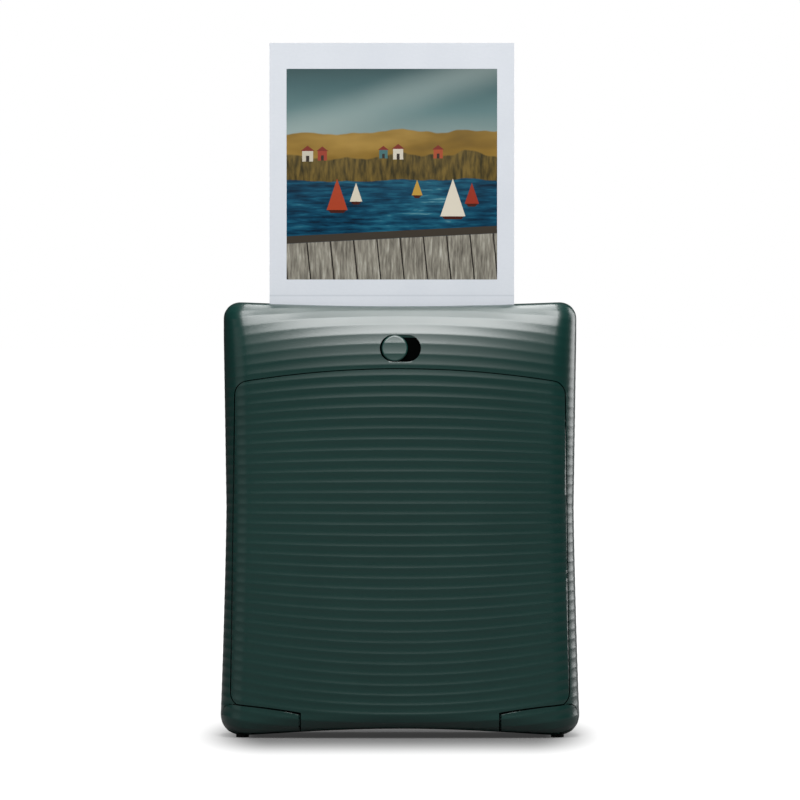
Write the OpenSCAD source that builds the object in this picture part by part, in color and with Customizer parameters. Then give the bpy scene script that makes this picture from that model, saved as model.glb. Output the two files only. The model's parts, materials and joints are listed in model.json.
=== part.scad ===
// Compact photo printer, standing upright with a finished print in its exit slot.
// X runs across the width, Y from the film door (negative) to the front, Z up.
// The origin is on the table, under the middle of the body. All sizes are in millimetres.

/* [Body] */
// Greatest width of the body, just above its base
body_w = 105.8; // [104:0.2:112]
// Depth of the body from the film door to the front
body_d = 34.4; // [34:0.2:40]
// Height of the upper corners above the table
body_h = 128; // [127:0.2:132]
// Width of the body at its waist
waist_w = 102.4; // [101:0.2:103.6]
// Width of the body just below the upper corners
top_w = 103.9; // [103:0.2:106]
// Height of the waist above the table
waist_z = 68; // [55:1:80]
// Height of the lower corners above the table
shell_z0 = 0.9; // [0.6:0.1:1.4]
// How much the lower edge rises in the middle
base_arch = 1.8; // [0.5:0.1:2.2]
// How much the upper edge dips in the middle
top_sag = 1.3; // [0:0.1:1.8]
// Wall thickness of the mouldings
wall = 1.8; // [1.4:0.1:2]
// Corner radius of the body seen from above
corner_r = 8.5; // [7:0.5:9.5]
// Radius of the upper corners seen from the film door
top_side_r = 5; // [4:0.5:6]
// Radius of the upper edge seen from the side
top_face_r = 10.5; // [9:0.5:11]
// Radius of the lower corners seen from the film door
base_side_r = 6; // [5:0.5:6.5]
// Radius of the lower edge seen from the side
base_face_r = 5.5; // [5:0.5:6]

/* [Flutes] */
// Pitch of the flutes at the middle of a face
flute_pitch = 3.15; // [2.8:0.05:3.6]
// Depth of a flute below its crests
flute_depth = 0.28; // [0.1:0.02:0.5]
// Share by which the flutes close up towards the sides
flute_fan = 0.105; // [0:0.005:0.15]
// Height of the one flute crest that runs straight
flute_mid_z = 63.2; // [58:0.2:68]

/* [Film door] */
// Height of the middle of the door's upper edge
door_top = 108.4; // [108:0.1:109]
// Width of the door at its upper corners
door_top_w = 96.6; // [94:0.2:98]
// Width of the door at its lower corners
door_base_w = 99.3; // [98:0.1:100]
// Width of the tongue that runs under the body
tongue_w = 58.1; // [50:0.5:62]
// Gap round the door
door_gap = 0.3; // [0.2:0.05:0.5]
// Height of the hinge axis above the table
hinge_z = 5.4; // [5.2:0.1:5.6]
// Distance of the hinge axis from the film door's face
hinge_in = 4.2; // [4:0.1:4.4]
// Radius of the hinge pins
pin_r = 0.75; // [0.5:0.05:0.8]

/* [Latch] */
// Length of the latch slot
latch_slot_l = 12.1; // [11:0.1:14]
// Height of the latch slot
latch_slot_h = 7.9; // [7.8:0.1:8.4]
// Diameter of the latch knob
latch_knob_d = 7.4; // [6:0.1:7.5]
// Travel of the latch
latch_travel = 3.5; // [2:0.1:3.6]

/* [Film] */
// Width of a print
print_w = 72; // [70:0.5:72]
// Length of a print
print_l = 86; // [84:0.5:86]
// Thickness of a print
print_t = 0.5; // [0.4:0.05:0.55]
// Side of the square picture
image_s = 62; // [56:0.5:63]
// Offset of the film from the middle of the body
film_x = -2.4; // [-2.4:0.1:0]
// Plain border above the picture
image_top = 7.6; // [5:0.2:9]
// Width of the film cassette
cassette_w = 79; // [77:0.2:79]
// Length of the film cassette
cassette_l = 92.5; // [91:0.1:92.6]
// Thickness of the film cassette
cassette_t = 10.3; // [9.6:0.1:10.4]

/* [Rollers] */
// Radius of the two rollers that carry the film
roller_r = 3; // [2.6:0.1:3]
// Length of the rollers
roller_l = 73; // [70:0.5:74]
// Radius of the roller shafts
shaft_r = 1; // [0.8:0.05:1.1]
// Module of the gears
gear_m = 0.4; // [0.38:0.01:0.4]

/* [Controls] */
// Radius of the power button
power_r = 6; // [5:0.25:6.5]
// Height of the power button above the table
power_z = 84; // [82:0.5:86]
// Travel of the power button
power_travel = 0.8; // [0.4:0.1:0.8]
// Height of the side button above the table
side_z = 72; // [70:0.5:76]
// Travel of the side button
side_travel = 0.6; // [0.3:0.1:0.6]
// Height of the charging socket above the table
socket_z = 30; // [26:0.5:40]

/* [Hidden] */
$fn = 48;

// Clearances: seat is a fixed joint's, run a shaft's in its bore, slip a sliding piece's
seat = 0.1;
run = 0.05;
slip = 0.2;
eps = 0.02;

// Half sizes and main planes of the body
half_d = body_d / 2;
parting_y = 3;
parting_gap = 0.1;
bend_h = 20;
face_lean = 7;
side_lean = 3;
waist_power = 1.3;

// Facets of one quarter of the body's outline: along the face and round the corner
face_steps = 4;
corner_steps = 4;
quarter_n = face_steps + corner_steps + 1;
ring_n = 4 * quarter_n;
free_flutes = 18;
round_steps = 5;
tall_steps = 3;

// Film door and its hinge
hinge_y = -half_d + hinge_in;
knuckle_r = pin_r + 0.95;
knuckle_gap = 0.12;
knuckle_w = 4.8;
knuckle_x = tongue_w / 2 - 0.25 - knuckle_w;
ear_x = tongue_w / 2 + 0.8;
ear_w = 3.2;
pin_x = knuckle_x + 0.3;
tongue_r = 3.6;
tongue_room = 0.2;
step_r = 3.5;
step_rise = 0.054;
step_gap = 0.16;
door_corner_r = 4;
door_low_z = 9.9;
door_edge_y = -half_d + 8.2;

// Stack behind the door, from the door's inner face to the chamber's plate
liner_t = 3;
door_in_y = -half_d + wall;
liner_y = door_in_y + liner_t;
liner_half_w = cassette_w / 2 + 2.5;
liner_z0 = hinge_z + 6.6;
spring_room = 0.9;
cassette_y = liner_y + spring_room;
cassette_wall = 0.6;
cassette_z = hinge_z + 5.8;
film_y = cassette_y + cassette_t - cassette_wall - 0.15 - print_t / 2;
plate_y = cassette_y + cassette_t + slip;
plate_t = 1.6;
board_side_y = plate_y + plate_t;
chamber_in = cassette_w / 2 + 0.5;
chamber_out = chamber_in + plate_t;
chamber_z = cassette_z - 2;
chamber_top = cassette_z + cassette_l + 0.4;
lid_t = 1.5;
deck_z = chamber_top + lid_t;
flange_y = cassette_y + 2.2;
flange_t = 1;
flange_w = 2 * 48.2;
liner_z1 = deck_z - 2.6;

// Rollers, their brackets and the exit slot
nip_z = deck_z + 13.9;
nip_gap = 0.02;
drive_y = film_y + print_t / 2 + nip_gap + roller_r;
press_y = film_y - print_t / 2 - nip_gap - roller_r;
print_z = nip_z - 1.4;
bracket_x = roller_l / 2 + 1.9;
bracket_t = 1.5;
bush_r = shaft_r + 0.8;
exit_w = print_w + 2.5;
exit_t = print_t + 1.9;
bezel_rim = 1;
bezel_z1 = body_h - top_sag - 0.5;
bezel_z0 = bezel_z1 - 2.6;

// Latch
latch_x = 0.1;
latch_z = door_top + 6.1;
knob_x = latch_x - (latch_slot_l - latch_knob_d) / 2 + 0.7;
slider_y = door_in_y + 0.6;
slider_t = 1;
slider_half_h = latch_slot_h / 2 + 0.5;
slider_x0 = knob_x - 10;
slider_x1 = knob_x + 11;
hook_half_w = 3;
guide_y = slider_y + slider_t + seat;

// Gear train: teeth, then centres in the YZ plane, each placed from the one before it
roller_teeth = 16;
second_teeth = 24;
small_teeth = 12;
large_teeth = 30;
pinion_teeth = 12;
gear_w = 1.3;
gear_x = chamber_out + 1.2;
gear_plate_x = chamber_out + seat;
gear_plate_t = 0.8;
axle_r = 0.6;
second_dir = -50;
first_dir = -100;
motor_dir = -67;
roller_c = [drive_y, nip_z];
second_c = roller_c + reach(roller_teeth, second_teeth, second_dir);
first_c = second_c + reach(second_teeth, small_teeth, first_dir);
motor_c = first_c + reach(large_teeth, pinion_teeth, motor_dir);
second_phase = mesh_phase(roller_teeth, 0, second_dir, second_teeth);
first_phase = mesh_phase(second_teeth, second_phase, first_dir, small_teeth);
pinion_phase = mesh_phase(large_teeth, first_phase, motor_dir, pinion_teeth);
motor_r = 4.5;
motor_l = 17;

// Boards, battery and controls
board_y = board_side_y + 2.8;
board_t = 1;
board_z0 = 60;
board_z1 = 92;
board_half_w = 38;
switch_t = 1.8;
switch_tip = 0.2;
ring_w = 2;
ring_flange = 1.2;
power_back = half_d - 3.35;
power_rest = half_d - 0.3;
battery_w = 54;
battery_h = 41;
battery_t = 6.5;
battery_z = cassette_z + 2;
side_y = -4;
side_board_x = chamber_out + 2;
side_wall_x = waist_w / 2;
side_r = 1.7;
side_l = 9;

case_green = [0.10, 0.20, 0.18];
dark = [0.07, 0.08, 0.08];
steel = [0.72, 0.73, 0.75];

function sq(v) = v * v;
function reach(n1, n2, dir) = gear_m * (n1 + n2) / 2 * [cos(dir), sin(dir)];
// Angle of a tooth of the second gear, so that it meshes with the first in that direction
function mesh_phase(n1, phase, dir, n2) = dir + 180 - 360 / n2 * (0.5 - (dir - phase) * n1 / 360);

// Half width of the plain body at height z
function waist(z) = z < waist_z
    ? waist_w / 2 + (body_w - waist_w) / 2
        * pow(min(1, (waist_z - z) / (waist_z - shell_z0 - base_side_r)), waist_power)
    : waist_w / 2 + (top_w - waist_w) / 2 * min(1, (z - waist_z) / (body_h - waist_z - 10));
// How far an edge of radius r draws in at distance d from the end
function draw_in(d, r) = d >= r ? 0 : r - sqrt(max(0, sq(r) - sq(r - d)));
function half_x(z, e) = waist(z) - e - draw_in(body_h - e - z, top_side_r - e)
    - draw_in(z - shell_z0 - e, base_side_r - e);
function half_y(z, e) = half_d - e - draw_in(body_h - e - z, top_face_r - e)
    - draw_in(z - shell_z0 - e, base_face_r - e);
function fade(d) = d >= bend_h ? 0 : sq(1 - max(0, d) / bend_h);
// Rise of the arched base and dip of the upper edge
function bend(x, z) = (1 - sq(min(1, abs(x) / (body_w / 2))))
    * (base_arch * fade(z - shell_z0) - top_sag * fade(body_h - z));

// Point i of a quarter outline of half sizes a and b: crowned face, round corner, crowned side
function quarter(i, a, b, r, lean) =
    let (ta = tan(lean) / 2, tb = tan(side_lean) / 2,
        ky = b - r * cos(lean) - ta * r * sin(lean),
        kx = a - r * cos(side_lean) - tb * r * sin(side_lean),
        cx = (kx - tb * ky) / (1 - ta * tb), cy = ky - ta * cx,
        xj = cx + r * sin(lean), x = xj * i / face_steps,
        turn = 90 - lean - side_lean, th = 90 - lean - turn * (i - face_steps) / corner_steps)
    i <= face_steps ? [x, b - ta / xj * sq(x)]
    : i < quarter_n ? [cx + r * cos(th), cy + r * sin(th)] : [a, 0];
function ring_point(j, a, b, e) =
    let (q = floor(j / quarter_n), i = j % quarter_n, share = b / (half_d - e),
        p = quarter(q % 2 == 0 ? i : quarter_n - i, a, b, max(0.5, (corner_r - e) * share),
            face_lean * share))
    [q < 2 ? p[0] : -p[0], q == 0 || q == 3 ? p[1] : -p[1]];
// Distance of the door's inner face from the middle plane at x
function face_in(x) = half_d - wall - tan(face_lean) / 2 / (waist_w / 2 - corner_r + 1) * sq(x);

// Flutes: length of the face over its roundings, and height of a point at length s
up_straight = body_h - top_face_r - flute_mid_z;
up_length = up_straight + top_face_r * PI / 2;
down_straight = flute_mid_z - shell_z0 - base_face_r;
down_length = down_straight + base_face_r * PI / 2;
function up_z(s) = s < up_straight ? flute_mid_z + s
    : body_h - top_face_r + top_face_r * sin(min(90, (s - up_straight) / top_face_r * 180 / PI));
function down_z(s) = s < down_straight ? flute_mid_z - s
    : shell_z0 + base_face_r
        - base_face_r * sin(min(90, (s - down_straight) / base_face_r * 180 / PI));
up_rows = 2 * floor(up_length / flute_pitch);
down_rows = 2 * floor(down_length / flute_pitch);
function pitch(u) = flute_pitch * (1 - flute_fan * sq(u));
// Length along the face of half flute k at share u of the half width
function row_length(k, rows, whole, u) =
    let (t = k / 2, last = rows / 2, free = min(free_flutes, last - 2))
    t <= free ? t * pitch(u)
    : free * pitch(u) + (whole - free * pitch(u)) * (t - free) / (last - free);
function row_z(k, u) = k >= 0 ? up_z(row_length(k, up_rows, up_length, u))
    : down_z(row_length(-k, down_rows, down_length, u));
// Depth of row k below the crests, less where the face turns over
function row_depth(k, z) = k % 2 == 0 ? 0
    : flute_depth * sqrt(max(0, 1 - sq(max(0, z - body_h + top_face_r) / top_face_r)))
        * sqrt(max(0, 1 - sq(max(0, shell_z0 + base_face_r - z) / base_face_r)));
function fluted_ring(k) = [for (j = [0 : ring_n - 1])
    let (u = abs(ring_point(j, waist_w / 2, half_d, 0)[0]) / (waist_w / 2), z = row_z(k, u),
        d = row_depth(k, z), p = ring_point(j, half_x(z, 0) - d, half_y(z, 0) - d, 0))
    [p[0], p[1], z + bend(p[0], z)]];
function plain_ring(z, e) = [for (j = [0 : ring_n - 1])
    let (p = ring_point(j, half_x(z, e), half_y(z, e), e)) [p[0], p[1], z + bend(p[0], z)]];

// Heights of the rings of the plain inner form, closer together in the roundings
function plain_heights(e) =
    let (z0 = shell_z0 + e, z1 = body_h - e, r0 = base_face_r - e, r1 = top_face_r - e)
    concat([for (i = [0 : round_steps]) z0 + r0 * (1 - cos(90 * i / round_steps))],
        [for (i = [1 : tall_steps]) z0 + r0 + (z1 - r1 - z0 - r0) * i / (tall_steps + 1)],
        [for (i = [0 : round_steps]) z1 - r1 * (1 - sin(90 * i / round_steps))]);

// Closed skin over a stack of rings; each end is bridged straight across
module ring_stack(rings) {
    n = ring_n;
    h = n / 2;
    last = len(rings) - 1;
    function at(row, j) = row * n + (j + n) % n;
    sides = [for (row = [0 : last - 1], j = [0 : n - 1])
        each [[at(row, j), at(row + 1, j + 1), at(row + 1, j)],
            [at(row, j), at(row, j + 1), at(row + 1, j + 1)]]];
    ends = [for (row = [0, last], s = [0, h], i = [0 : quarter_n - 1])
        let (a = at(row, s + i), b = at(row, s + i + 1), c = at(row, h - s - i - 1 + s * 2),
            d = at(row, h - s - i + s * 2))
        each i == quarter_n - 1 ? [row == 0 ? [d, b, a] : [a, b, d]]
            : row == 0 ? [[c, b, a], [d, c, a]] : [[a, b, c], [a, c, d]]];
    polyhedron(points = [for (ring = rings) each ring], faces = concat(sides, ends), convexity = 6);
}

module body_skin() {
    difference() {
        ring_stack([for (k = [-down_rows : up_rows]) fluted_ring(k)]);
        ring_stack([for (z = plain_heights(wall)) plain_ring(z, wall)]);
    }
}

// Height of the door's upper edge, which follows a flute
function door_edge(x) = flute_mid_z
    + (door_top - flute_mid_z) * pitch(abs(x) / (waist_w / 2)) / flute_pitch;

module door_outline(gap) {
    x1 = door_top_w / 2;
    x0 = door_base_w / 2;
    steps = 12;
    offset(delta = gap) offset(r = door_corner_r) offset(delta = -door_corner_r)
        polygon(concat([for (i = [0 : steps]) let (x = x1 * (1 - 2 * i / steps)) [x, door_edge(x)]],
            [[-x0, door_low_z], [-tongue_w / 2, hinge_z + 1.2], [tongue_w / 2, hinge_z + 1.2],
            [x0, door_low_z]]));
}

// Surface turned about the hinge axis that parts the door from the lower corners
module step_cone(gap) {
    for (s = [-1, 1])
        translate([s * (tongue_w / 2 + gap), hinge_y, hinge_z])
            rotate([0, s * 90, 0])
                cylinder(h = 24, r1 = step_r + step_gap / 2 * (gap > 0 ? -1 : 1),
                    r2 = step_r + step_gap / 2 * (gap > 0 ? -1 : 1) + 24 * step_rise, $fn = 96);
}

module door_prism(gap) {
    difference() {
        translate([0, door_edge_y, 0])
            rotate([90, 0, 0])
                linear_extrude(height = half_d)
                    door_outline(gap);
        step_cone(gap);
    }
    block([-tongue_w / 2 - gap, -half_d - 1, hinge_z], [tongue_w / 2 + gap, hinge_y, hinge_z + 6]);
}

// Box between two opposite corners, and cylinders along X and Y
module block(from, to) {
    translate(from) cube(to - from);
}
module rod_x(x0, x1, y, z, r) {
    translate([x0, y, z]) rotate([0, 90, 0]) cylinder(h = x1 - x0, r = r);
}
module rod_y(y0, y1, x, z, r) {
    translate([x, y0, z]) rotate([-90, 0, 0]) cylinder(h = y1 - y0, r = r);
}
module both_sides() {
    for (s = [0, 1]) mirror([s, 0, 0]) children();
}
// Stadium prism along Y
module slot_y(y0, y1, x, z, l, h) {
    for (s = [-1, 1]) rod_y(y0, y1, x + s * (l - h) / 2, z, h / 2);
    block([x - (l - h) / 2, y0, z - h / 2], [x + (l - h) / 2, y1, z + h / 2]);
}
// Stadium prism along X, long way up
module slot_x(x0, x1, y, z, l, h) {
    for (s = [-1, 1]) rod_x(x0, x1, y, z + s * (l - h) / 2, h / 2);
    block([x0, y - h / 2, z - (l - h) / 2], [x1, y + h / 2, z + (l - h) / 2]);
}

// ---- casing ----

module back_case() {
    color(case_green)
    resize([0, 0, 0])
    difference() {
        body_skin();
        block([-body_w, parting_y - parting_gap / 2, -1], [body_w, body_d, body_h + 1]);
        door_prism(door_gap);
        block([-tongue_w / 2 - door_gap, -body_d, -1],
            [tongue_w / 2 + door_gap, hinge_y, hinge_z + 1]);
        rod_x(-tongue_w / 2 - door_gap, tongue_w / 2 + door_gap, hinge_y, hinge_z,
            tongue_r + tongue_room);
        both_sides()
            rod_x(tongue_w / 2, ear_x + ear_w + 0.2, hinge_y, hinge_z, knuckle_r + knuckle_gap);
        slot_y(-half_d - 1, door_in_y + 1, latch_x, latch_z, latch_slot_l, latch_slot_h);
        exit_block(bezel_rim + seat, body_h - 8, body_h + 1);
        slot_x(side_wall_x - 4, side_wall_x + 3, side_y, side_z, side_l, 2 * side_r + 0.3);
        slot_x(-side_wall_x - 3, -side_wall_x + 4, side_y, socket_z, 9.4, 3.6);
        foot_places(foot_r + seat, foot_top + seat);
    }
}

module front_case() {
    color(case_green)
    resize([0, 0, 0])
    difference() {
        body_skin();
        block([-body_w, -body_d, -1], [body_w, parting_y + parting_gap / 2, body_h + 1]);
        rod_y(0, body_d, 0, power_z, power_r + 0.3 + ring_w + seat);
        foot_places(foot_r + seat, foot_top + seat);
    }
}

foot_r = 1.9;
foot_top = shell_z0 + 0.5;
foot_x = body_w / 2 - base_side_r - 0.6;
foot_y = 8;
module foot_places(r, top) {
    for (x = [-foot_x, foot_x], y = [-foot_y, foot_y])
        translate([x, y, 0]) cylinder(h = top, r = r);
}
module feet() {
    color(dark) foot_places(foot_r, foot_top);
}

// Block with round ends the size of the exit slot plus a rim
module exit_block(rim, z0, z1) {
    r = exit_t / 2 + rim;
    for (s = [-1, 1])
        translate([film_x + s * (exit_w / 2 - exit_t / 2), film_y, z0]) cylinder(h = z1 - z0, r = r);
    block([film_x - exit_w / 2 + exit_t / 2, film_y - r, z0],
        [film_x + exit_w / 2 - exit_t / 2, film_y + r, z1]);
}

module slot_bezel() {
    color(dark)
    difference() {
        exit_block(bezel_rim, bezel_z0, bezel_z1);
        exit_block(0, bezel_z0 - 1, bezel_z1 + 1);
    }
}

// ---- film chamber, the frame that carries everything inside ----

module film_chamber() {
    ear_web = [[-0.6, knuckle_r - 0.15], [flange_y - hinge_y, chamber_z - hinge_z + 0.01],
        [flange_y - hinge_y + 3.4, chamber_z - hinge_z + 0.01], [1.2, -knuckle_r + 0.5]];
    color(dark)
    difference() {
        union() {
            block([-chamber_out, plate_y, chamber_z], [chamber_out, board_side_y, deck_z]);
            both_sides() {
                block([chamber_in, flange_y, chamber_z], [chamber_out, plate_y, deck_z]);
                block([chamber_out, flange_y, chamber_z],
                    [flange_w / 2, flange_y + flange_t, deck_z]);
                translate([ear_x, hinge_y, hinge_z])
                    rotate([90, 0, 90])
                        linear_extrude(height = ear_w)
                            union() {
                                circle(r = knuckle_r);
                                polygon(ear_web);
                            }
                block([chamber_out, side_y - 3, side_z - 5],
                    [side_board_x - seat, side_y + 3, side_z - 2.6]);
                block([chamber_out, side_y - 3, side_z + 2.6],
                    [side_board_x - seat, side_y + 3, side_z + 5]);
            }
            block([chamber_out, side_y - 3, socket_z - 8],
                [side_board_x - seat, side_y + 3, socket_z - 6]);
            block([-side_board_x + seat, side_y - 3, socket_z - 8],
                [-chamber_out, side_y + 3, socket_z - 6]);
            block([-side_board_x + seat, side_y - 3, socket_z + 6],
                [-chamber_out, side_y + 3, socket_z + 8]);
            block([-chamber_in, flange_y, chamber_z], [chamber_in, plate_y, cassette_z - 0.3]);
            block([-chamber_in, flange_y, chamber_top], [chamber_in, plate_y, deck_z]);
            for (x = [-board_half_w + 3, board_half_w - 3], z = [board_z0 + 3, board_z1 - 3])
                rod_y(board_side_y, board_y - seat, x, z, 1.8);
        }
        block([film_x - print_w / 2 - 1.2, film_y - 1.2, chamber_top - 1],
            [film_x + print_w / 2 + 1.2, film_y + 1.1, deck_z + 1]);
        block([claw_x - 0.4, plate_y - 1, cassette_z + 0.3],
            [claw_x + claw_w + 0.4, board_side_y + 1, cassette_z + 10.5]);
        both_sides()
            rod_x(ear_x - 1, ear_x + ear_w + 1, hinge_y, hinge_z, pin_r + 0.02);
    }
}

module chamber_seal() {
    x = chamber_out + 0.8;
    w = 2;
    color([0.03, 0.03, 0.03]) {
        both_sides()
            block([x, flange_y - 0.8, chamber_z + 1], [x + w, flange_y, deck_z - 1]);
    }
}

module frame_screws() {
    x = (chamber_out + flange_w / 2) / 2 + 1.5;
    color(steel)
    both_sides()
        for (z = [chamber_z + 4, deck_z - 5])
            difference() {
                rod_y(flange_y - 1.1, flange_y, x, z, 1.4);
                block([x - 1, flange_y - 2, z - 0.2], [x + 1, flange_y - 0.6, z + 0.2]);
                block([x - 0.2, flange_y - 2, z - 1], [x + 0.2, flange_y - 0.6, z + 1]);
            }
}

// ---- film cassette ----

module cassette_shell() {
    y0 = cassette_y + cover_t + eps;
    y1 = cassette_y + cassette_t;
    z1 = cassette_z + cassette_l;
    half = cassette_w / 2;
    color([0.10, 0.10, 0.11])
    difference() {
        block([-half, y0, cassette_z], [half, y1, z1]);
        block([-half + 1, y0 - 1, cassette_z + 1], [half - 1, y1 - cassette_wall, z1 - 1]);
        block([film_x - image_s / 2 - 1, y1 - 2, cassette_z + 14],
            [film_x + image_s / 2 + 1, y1 + 1, cassette_z + 14 + image_s]);
        block([film_x - print_w / 2 - 0.3, film_y - print_t / 2 - 0.35, z1 - 2],
            [film_x + print_w / 2 + 0.3, film_y + print_t / 2 + 0.14, z1 + 1]);
        block([claw_x - 0.4, y1 - 2, cassette_z - 1],
            [claw_x + claw_w + 0.4, y1 + 1, cassette_z + 10.5]);
    }
}

cover_t = 0.8;
module cassette_cover() {
    half = cassette_w / 2;
    color([0.14, 0.14, 0.15])
    difference() {
        block([-half, cassette_y, cassette_z], [half, cassette_y + cover_t, cassette_z + cassette_l]);
        both_sides()
            translate([0, cassette_y - 1, 0])
                slot_y(0, cover_t + 2, 16, cassette_z + cassette_l / 2, 14, 10);
    }
}

stack_z = cassette_z + 1.9;
module film_stack() {
    color([0.80, 0.82, 0.83])
    block([film_x - print_w / 2, cassette_y + cover_t + 0.2, stack_z],
        [film_x + print_w / 2, film_y - print_t / 2 - 0.25, stack_z + print_l]);
}

// ---- rollers, brackets and gears ----

module roller_bracket(side) {
    top = nip_z + bush_r + 2;
    x = film_x + side * (bracket_x + bracket_t / 2);
    color([0.16, 0.17, 0.18])
    difference() {
        union() {
            block([x - bracket_t / 2, flange_y + 1.2, deck_z],
                [x + bracket_t / 2, head_y + head_t + 0.4, top]);
            block([x - bracket_t / 2, head_y, deck_z],
                [x + bracket_t / 2, head_y + head_t + 3, deck_z + 2]);
        }
        for (y = [drive_y, press_y])
            rod_x(x - bracket_t, x + bracket_t, y, nip_z, bush_r + 0.02);
    }
}
module roller_bracket_left() { roller_bracket(-1); }
module roller_bracket_right() { roller_bracket(1); }

module roller_bushes() {
    color([0.85, 0.78, 0.55])
    translate([film_x, 0, 0])
    both_sides()
        for (y = [drive_y, press_y])
            difference() {
                rod_x(bracket_x, bracket_x + bracket_t, y, nip_z, bush_r);
                rod_x(bracket_x - 1, bracket_x + bracket_t + 1, y, nip_z, shaft_r + run);
            }
}

module drive_roller() {
    color([0.25, 0.26, 0.27]) {
        rod_x(film_x - roller_l / 2, film_x + roller_l / 2, drive_y, nip_z, roller_r);
        rod_x(film_x - bracket_x - bracket_t - 1.5, film_x - roller_l / 2, drive_y, nip_z, shaft_r);
        rod_x(film_x + roller_l / 2, gear_x + gear_w + 0.5, drive_y, nip_z, shaft_r);
    }
}
module pressure_roller() {
    color([0.62, 0.63, 0.65])
    translate([film_x, 0, 0]) {
        rod_x(-roller_l / 2, roller_l / 2, press_y, nip_z, roller_r);
        both_sides()
            rod_x(roller_l / 2, bracket_x + bracket_t + 1, press_y, nip_z, shaft_r);
    }
}

// Outline of a spur gear: half a tooth narrows along an involute from the base circle
module spur_outline(teeth, phase) {
    rp = gear_m * teeth / 2;
    rb = rp * cos(22);
    ra = rp + 0.85 * gear_m;
    rr = rp - 1.1 * gear_m;
    steps = 3;
    play = 0.06;
    function inv(a) = tan(a) * 180 / PI - a;
    half = 90 / teeth - play / 4 / rp * 180 / PI + inv(22);
    r0 = max(rb, rr);
    function flank(i) = let (r = r0 + (ra - r0) * i / steps) [r, half - inv(acos(min(1, rb / r)))];
    tooth = concat([[rr, -flank(0)[1]]], [for (i = [0 : steps]) [flank(i)[0], -flank(i)[1]]],
        [for (i = [steps : -1 : 0]) flank(i)], [[rr, flank(0)[1]]]);
    polygon([for (k = [0 : teeth - 1], p = tooth)
        p[0] * [cos(phase + 360 * k / teeth + p[1]), sin(phase + 360 * k / teeth + p[1])]]);
}
module gear_at(x, w, c, teeth, phase, bore) {
    translate([x, c[0], c[1]])
        rotate([90, 0, 90])
            linear_extrude(height = w)
                difference() {
                    spur_outline(teeth, phase);
                    circle(r = bore);
                }
}

module roller_gear() {
    color([0.86, 0.86, 0.82])
    gear_at(gear_x, gear_w, roller_c, roller_teeth, 0, shaft_r + eps);
}
module second_gear() {
    color([0.86, 0.86, 0.82])
    gear_at(gear_x, gear_w, second_c, second_teeth, second_phase, axle_r + run);
}
module first_gear() {
    color([0.86, 0.86, 0.82]) {
        gear_at(gear_x, gear_w + 0.2, first_c, small_teeth, first_phase, axle_r + run);
        gear_at(gear_x + gear_w + 0.2, gear_w - 0.1, first_c, large_teeth, first_phase,
            axle_r + run);
    }
}
module motor_pinion() {
    color([0.80, 0.68, 0.38])
    gear_at(gear_x + gear_w + 0.2, gear_w - 0.1, motor_c, pinion_teeth, pinion_phase, 0.5 + eps);
}
module motor_shaft() {
    color(steel)
    rod_x(chamber_out - motor_l + 2, gear_x + 2 * gear_w + 0.5, motor_c[0], motor_c[1], 0.5);
}
module motor_can() {
    color(steel)
    difference() {
        union() {
            rod_x(chamber_out - motor_l, chamber_out, motor_c[0], motor_c[1], motor_r);
            rod_x(chamber_out - motor_l - 1, chamber_out - motor_l, motor_c[0], motor_c[1], 1.6);
        }
        rod_x(chamber_out - motor_l + 1.5, chamber_out + 1, motor_c[0], motor_c[1], 0.5 + run);
    }
}
module gear_plate() {
    x = gear_plate_x;
    color([0.16, 0.17, 0.18])
    translate([x, 0, 0])
        rotate([90, 0, 90])
            linear_extrude(height = gear_plate_t)
                difference() {
                    union() {
                        translate(second_c) circle(r = 4);
                        translate(roller_c) circle(r = 3);
                        translate(motor_c) circle(r = motor_r);
                        polygon([[plate_y - 3, chamber_top - 14], motor_c + [-1, -motor_r + 0.2],
                            motor_c + [motor_r - 0.2, 1], second_c + [4, 0],
                            roller_c + [1, 3], roller_c + [-3, 0], [plate_y - 3, deck_z]]);
                    }
                    translate(roller_c) circle(r = shaft_r + 0.3);
                    translate(motor_c) circle(r = 1.2);
                    translate(first_c) circle(r = axle_r + eps);
                    translate(second_c) circle(r = axle_r + eps);
                }
}
module gear_axles() {
    color(steel)
    for (a = [[second_c, gear_w + 0.7], [first_c, 2 * gear_w + 0.8]])
        rod_x(gear_plate_x + 0.05, gear_x + a[1], a[0][0], a[0][1], axle_r);
}

claw_x = 30;
claw_w = 3;
module film_claw() {
    z0 = stack_z - 1.1;
    y = board_side_y + 0.15;
    color(steel) {
        block([claw_x, y, z0], [claw_x + claw_w, y + 0.6, z0 + 44]);
        block([claw_x + 0.3, film_y + print_t / 2 + 0.2, z0], [claw_x + claw_w - 0.3, y, z0 + 0.8]);
    }
}

// ---- exposure head ----

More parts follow.
